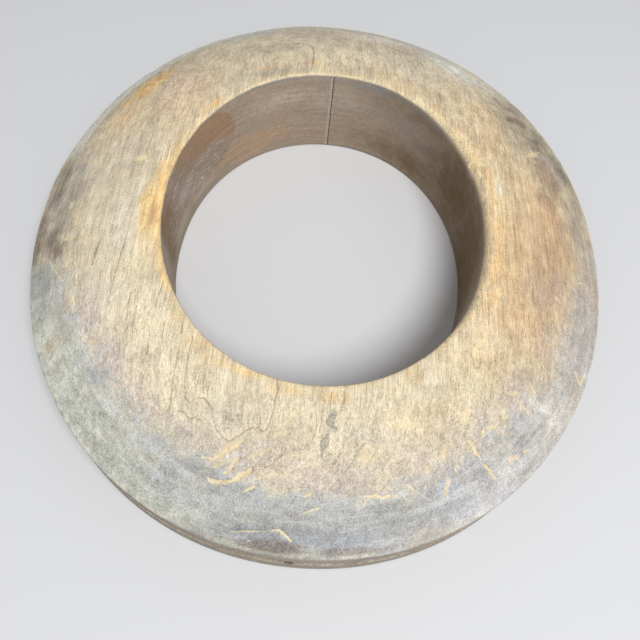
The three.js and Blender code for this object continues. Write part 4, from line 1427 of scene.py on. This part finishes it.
    # The rim, its groove with dirt and painted shade, the corner, and the lip's edge painted as a pale
    # highlight in worn wood's tones
    rim_wood = mixed(f.plus(f.off(fine_streaks, 0.8), small_mottle), 0.35, 0.7, RIM_WOOD, RIM_DEEP)
    lip_tone = mixed(f.plus(strands, f.off(fibres, 0.6)), 0.35, 0.65, TAN_WOOD, WORN_DEEP)
    lip_tone = f.blend(f.ramp(worn, 0.2, 0.9, 0.2, 0.9), CREAM_WOOD, lip_tone)
    for mask, colour in (
            (f.times(rim, 0.8), rim_wood),
            (f.times(groove, f.ramp(mottle, 0.2, 0.7, 0.6, 0.95)), GROOVE_DIRT_AND_SHADE),
            (f.times(corner, f.ramp(small_mottle, 0.46, 0.62, 0.0, 0.3)), CREAM_WOOD),
            (f.times(lip, f.ramp(small_mottle, 0.35, 0.6, 0.45, 0.9)), lip_tone)):
        wood = f.blend(mask, wood, colour)

    # Grain over all of it, fainter under the grey and on the wall
    clear = f.times(f.ramp(grey_mask, 0.0, 1.0, 1.0, 0.35), f.ramp(wall, 0.0, 1.0, 1.0, 0.3))
    speckled = f.times(f.ramp(grey_mask, 0.0, 1.0, 0.72, 1.1), f.ramp(wall, 0.0, 1.0, 1.0, 0.7))
    dappled = f.ramp(f.most(grey_mask, f.times(dulled, 0.7)), 0.0, 1.0, 0.25, 1.0)
    streaked = f.ramp(grey_mask, 0.0, 1.0, 0.1, 0.6)
    shade = f.plus(1.0, f.times(ring_tone, clear, 0.06), f.off(small_mottle, 0.3), f.off(grit, 0.4))
    for noise, amount, where in (
            (fibres, 1.3, clear), (strands, 0.8, clear), (wide_strands, 0.5, clear),
            (blotches, 0.5, open_top), (specks, 1.4, speckled), (dapples, 0.75, dappled),
            (fine_streaks, 0.6, streaked), (fine_streaks, 1.4, rim), (turned, 0.7, wall)):
        shade = f.plus(shade, f.times(f.off(noise, amount), where))
    wood = f.shaded(wood, shade)
    wood = f.blend(f.times(ring_line, clear, line_strength), wood, GROWTH_BROWN)
    wood = f.blend(f.times(pores, clear, pore_strength), wood, FLECK_BROWN, "MULTIPLY")

    # Fine strokes and pale flecks from handling
    strokes = f.most(*[
        f.ramp(f.cloud(*size, detail=1.0, turn=turn, shift=(3.1 * number, 5.7, 1.3)), 0.66, 0.74)
        for number, (turn, size) in enumerate(STROKES)])
    strokes = f.times(strokes, f.ramp(f.most(grey_mask, mauve_mask), 0.0, 1.0, 0.12, 0.42), open_top)
    wood = f.blend(strokes, wood, CHALK)
    flecks = f.ramp(f.cloud(0.45, 0.55, 0.45, detail=1.0, shift=(5.5, 3.3, 7.7)), 0.66, 0.76)
    wood = f.blend(f.times(flecks, f.ramp(grey_mask, 0.0, 1.0, 0.2, 0.5)), wood, CHALK)

    # The listed marks, their edges torn along the fibres
    def torn(mask, amount=1.0):
        shifted = f.plus(mask, f.off(grit, amount), f.off(slanting, 2 * amount))
        return f.times(f.ramp(shifted, 0.25, 1.1), f.ramp(mask, 0.02, 0.4))

    fresh_tone = mixed(f.plus(small_mottle, f.off(slanting, 1.4)), 0.4, 0.72, FRESH_WOOD, FRESH_DEEP)
    growth_mask = f.times(f.ramp(growth, 0.1, 0.75), f.ramp(f.cloud(1.2, 2.0, 1.2), 0.3, 0.6, 0.5, 1.0))
    iron_mask = f.ramp(f.plus(iron, f.off(strands, 0.8), f.off(grit, 0.8)), 0.15, 1.0)
    # The slot is blended near black among these, as painted shade
    for mask, colour in (
            (f.times(torn(fresh, 0.6), 0.85), fresh_tone),
            (f.times(growth_mask, 0.6), GROWTH_BROWN),
            (f.times(iron_mask, f.ramp(iron, 0.0, 0.3), 0.78), IRON_STAIN),
            (f.times(torn(chalk, 0.6), 0.5), CHALK),
            (slot, SLOT_SHADE)):
        wood = f.blend(mask, wood, colour)

    # Polish from handling, and relief of the grain
    polish = f.plus(f.ramp(grey_mask, 0.0, 1.0, 0.68, 0.54), f.off(mottle, 0.25))
    raised = f.plus(
        f.times(fibres, clear, 0.1), f.times(specks, 0.06), f.times(grit, 0.1),
        f.times(small_mottle, 0.12), f.times(turned, wall, 0.12))
    sunk = f.plus(f.times(ring_line, 0.08, clear), f.times(pores, 0.08, clear), f.times(strokes, 0.05))
    return f.close(wood, polish, f.less(raised, sunk))


def dowel_finish():
    """Straight-grained dowel wood with glue smears."""
    f = Finish("dowel_wood")
    fibres = f.cloud(14, 0.5, 0.5, detail=3.0)
    rings = f.cloud(80, 1.8, 1.8, detail=2.0)
    smear = f.cloud(6, 4, 4, detail=4.0)
    wood = f.blend(f.ramp(rings, 0.35, 0.65), DOWEL_WOOD, DOWEL_DEEP)
    wood = f.blend(f.times(f.ramp(fibres, 0.5, 0.75), 0.5), wood, DOWEL_GRAIN)
    wood = f.blend(f.times(f.ramp(smear, 0.55, 0.68), 0.6), wood, GLUE_SMEAR)
    return f.close(wood, f.ramp(smear, 0.4, 0.7, 0.7, 0.45), f.times(fibres, 0.12))


def iron_finish():
    """Filed iron, gone grey and rusty."""
    f = Finish("old_iron")
    rust = f.cloud(0.6, 0.6, 1.2, detail=4.0)
    filing = f.cloud(0.08, 1.6, 0.4, detail=2.0, turn=24)
    rusty = f.ramp(rust, 0.5, 0.66)
    metal = f.blend(f.ramp(filing, 0.35, 0.65), FILED_IRON, FILED_LIGHT)
    metal = f.blend(f.times(rusty, 0.6), metal, RUSTY_IRON)
    f.fill(f.shader, {"Metallic": f.ramp(rusty, 0.0, 1.0, 0.2, 0.0)})
    height = f.plus(f.times(filing, 0.03), f.times(rust, 0.05))
    return f.close(metal, f.ramp(rusty, 0.0, 1.0, 0.5, 0.85), height)


def clothe(piece, material):
    piece.data.materials.clear()
    piece.data.materials.append(material)


def filed_pin(node, plank_points):
    """One old pin: a pointed shank, its head filed off flush with the dome and burred out in its hole."""
    low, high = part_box(node)
    x, y, middle = middle_of(node)
    x, y, foot, top = x / MM, y / MM, low[2] / MM, high[2] / MM
    rod(PIN_SIDES, PIN_RADIUS, high[2] - low[2], (x * MM, y * MM, middle))
    pin = named(node + "_filed")
    tiny = PIN_RADIUS / 100
    select_faces(pin, face_centres(pin)[:, 2] < foot + tiny)
    bpy.ops.mesh.extrude_region_move(TRANSFORM_OT_translate={"value": (0, 0, 0)})
    bpy.ops.transform.resize(value=(PIN_POINT_SHARE, PIN_POINT_SHARE, 1))
    bpy.ops.object.mode_set(mode="OBJECT")
    # The shank's wide end is lifted, so that only the small one reaches the foot
    points = read_points(pin)
    wide = np.hypot(points[:, 0] - x, points[:, 1] - y) > PIN_RADIUS / 2
    points[wide & (points[:, 2] < foot + tiny), 2] += PIN_POINT
    write_points(pin, points)
    # The head: burred out, then crowned in three steps
    select_faces(pin, face_centres(pin)[:, 2] > top - tiny)
    bpy.ops.mesh.extrude_region_move(TRANSFORM_OT_translate={"value": (0, 0, PIN_HEAD_RISE * MM)})
    widen = (PIN_RADIUS + PIN_BURR) / PIN_RADIUS
    bpy.ops.transform.resize(value=(widen, widen, 1))
    bpy.ops.object.mode_set(mode="OBJECT")
    for inset, rise in PIN_CROWN:
        heights = face_centres(pin)[:, 2]
        select_faces(pin, heights > heights.max() - 0.005)
        bpy.ops.mesh.inset(thickness=inset * MM, depth=rise * MM)
        bpy.ops.object.mode_set(mode="OBJECT")
    # The head follows the slope of the dome round it
    near = np.hypot(plank_points[:, 0] - x, plank_points[:, 1] - y) < 3 * PIN_RADIUS
    around = plank_points[near & (plank_points[:, 2] > top - 1)]
    table = np.column_stack([around[:, 0], around[:, 1], np.ones(len(around))])
    slope = np.linalg.lstsq(table, around[:, 2], rcond=None)[0]
    points = read_points(pin)
    head = points[:, 2] > top + 0.4
    level = points[head, 0] * slope[0] + points[head, 1] * slope[1] + slope[2]
    points[head, 2] += level - PIN_HEAD_DROP - top - PIN_HEAD_RISE
    write_points(pin, points)
    return pin


def soft_light(name, place, size, power):
    """A round soft lamp at a place in metres, turned to the block."""
    data = bpy.data.lights.new(name, "AREA")
    data.shape = "DISK"
    data.size = size
    data.energy = power
    lamp = bpy.data.objects.new(name, data)
    bpy.context.collection.objects.link(lamp)
    back = np.array(place) / np.linalg.norm(place)
    across = np.cross((0, 0, 1), back)
    across /= np.linalg.norm(across)
    up = np.cross(back, across)
    rows = [(across[k], up[k], back[k], place[k]) for k in range(3)]
    lamp.matrix_world = Matrix(rows + [(0, 0, 0, 1)])


# The block
ring = turned_ring()
round_lip(ring)
uneven_by_hand(ring)
wear_edges(ring)
refine_marks(ring)
carve_marks(ring)
cut_slot(ring)

left = copy_of(ring, "left_plank_worn")
cut_away(left, JOINT_OFFSET - JOINT_HALF, "below")
right = copy_of(ring, "right_plank_worn")
cut_away(right, JOINT_OFFSET + JOINT_HALF, "above")
glue = copy_of(ring, "glue_film")
cut_away(glue, JOINT_OFFSET - JOINT_HALF + FILM_GAP, "above")
cut_away(glue, JOINT_OFFSET + JOINT_HALF - FILM_GAP, "below")

drill = dowel_drill()
for piece in (left, right, glue):
    bore(piece, drill)
holes = pin_drill()
bore(right, holes)
delete(ring, drill, holes)

planks = {
    "left_half": (left, plank_finish("left_plank_wood", left_rings, 0.25, 0.25), "left_plank"),
    "right_half": (right, plank_finish("right_plank_wood", right_rings, 0.4, 0.4), "right_plank"),
}
for node, (plank, material, slot) in planks.items():
    paint(plank)
    smooth(plank)
    clothe(plank, material)
    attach(plank, "root")
    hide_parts(node)

# The glue film, parted into its back and front pieces
old_glue = plank_finish("old_glue", left_rings, 0.25, 0.25)
for node, keep_back in (("glue_line_back", True), ("glue_line_front", False)):
    film = copy_of(glue, node + "_film")
    centres = face_centres(film)
    away = (centres[:, 1] < -HOLE_FORWARD) if keep_back else (centres[:, 1] > -HOLE_FORWARD)
    select_faces(film, away)
    bpy.ops.mesh.delete(type="FACE")
    bpy.ops.object.mode_set(mode="OBJECT")
    paint(film, 1)
    smooth(film)
    clothe(film, old_glue)
    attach(film, "root")
    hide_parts(node)
delete(glue)

old_iron = iron_finish()
dome_points = read_points(right)
for node in PINS:
    pin = filed_pin(node, dome_points)
    smooth(pin, 45)
    clothe(pin, old_iron)
    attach(pin, "root")
    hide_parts(node)

dowel_wood = dowel_finish()
for node in DOWELS:
    clothe(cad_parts[node], dowel_wood)

# The bench under the block: pale to the eye, and darker to the light that it throws back
deselect_all()
bpy.ops.mesh.primitive_plane_add(size=12, location=(0, 0, 0))
floor = named("bench")
bench = Finish("pale_bench")
path = bench.add("ShaderNodeLightPath")
seen = bench.most(*[path.outputs[f"Is {ray} Ray"] for ray in ("Camera", "Glossy", "Transmission")])
bench.fill(bench.shader, {"Base Color": bench.blend(seen, BENCH_LIT, BENCH_SEEN), "Roughness": 0.8})
clothe(floor, bench.material)

# Soft studio light: a broad window at the front right, and the room
WINDOW_PLACE = (0.40, -0.78, 1.55)
WINDOW_SIZE = 0.8
WINDOW_POWER = 23
ROOM_LIGHT = 0.33
soft_light("window", WINDOW_PLACE, WINDOW_SIZE, WINDOW_POWER)

world = bpy.data.worlds.new("room")
bpy.context.scene.world = world
world.use_nodes = True
room = world.node_tree.nodes["Background"]
room.inputs["Color"].default_value = (1, 1, 1, 1)
room.inputs["Strength"].default_value = ROOM_LIGHT

# The camera, fitted to the hole's edges and the outline in the photograph
CAMERA_PLACE = (-5.85 * MM, -217.8 * MM, 319.45 * MM)
CAMERA_TURN = ((0.99505, -0.09634, -0.02434), (0.07269, 0.87271, -0.48279), (0.06775, 0.47863, 0.8754))
CAMERA_LENS = 36.056
CAMERA_SENSOR = 36
eye = bpy.data.cameras.new("eye")
eye.lens = CAMERA_LENS
eye.sensor_width = CAMERA_SENSOR
eye.clip_start = 0.01
camera = bpy.data.objects.new("eye", eye)
bpy.context.collection.objects.link(camera)
rows = [CAMERA_TURN[k] + (CAMERA_PLACE[k],) for k in range(3)]
camera.matrix_world = Matrix(rows + [(0, 0, 0, 1)])
bpy.context.scene.camera = camera
bpy.context.scene.view_settings.view_transform = "Standard"
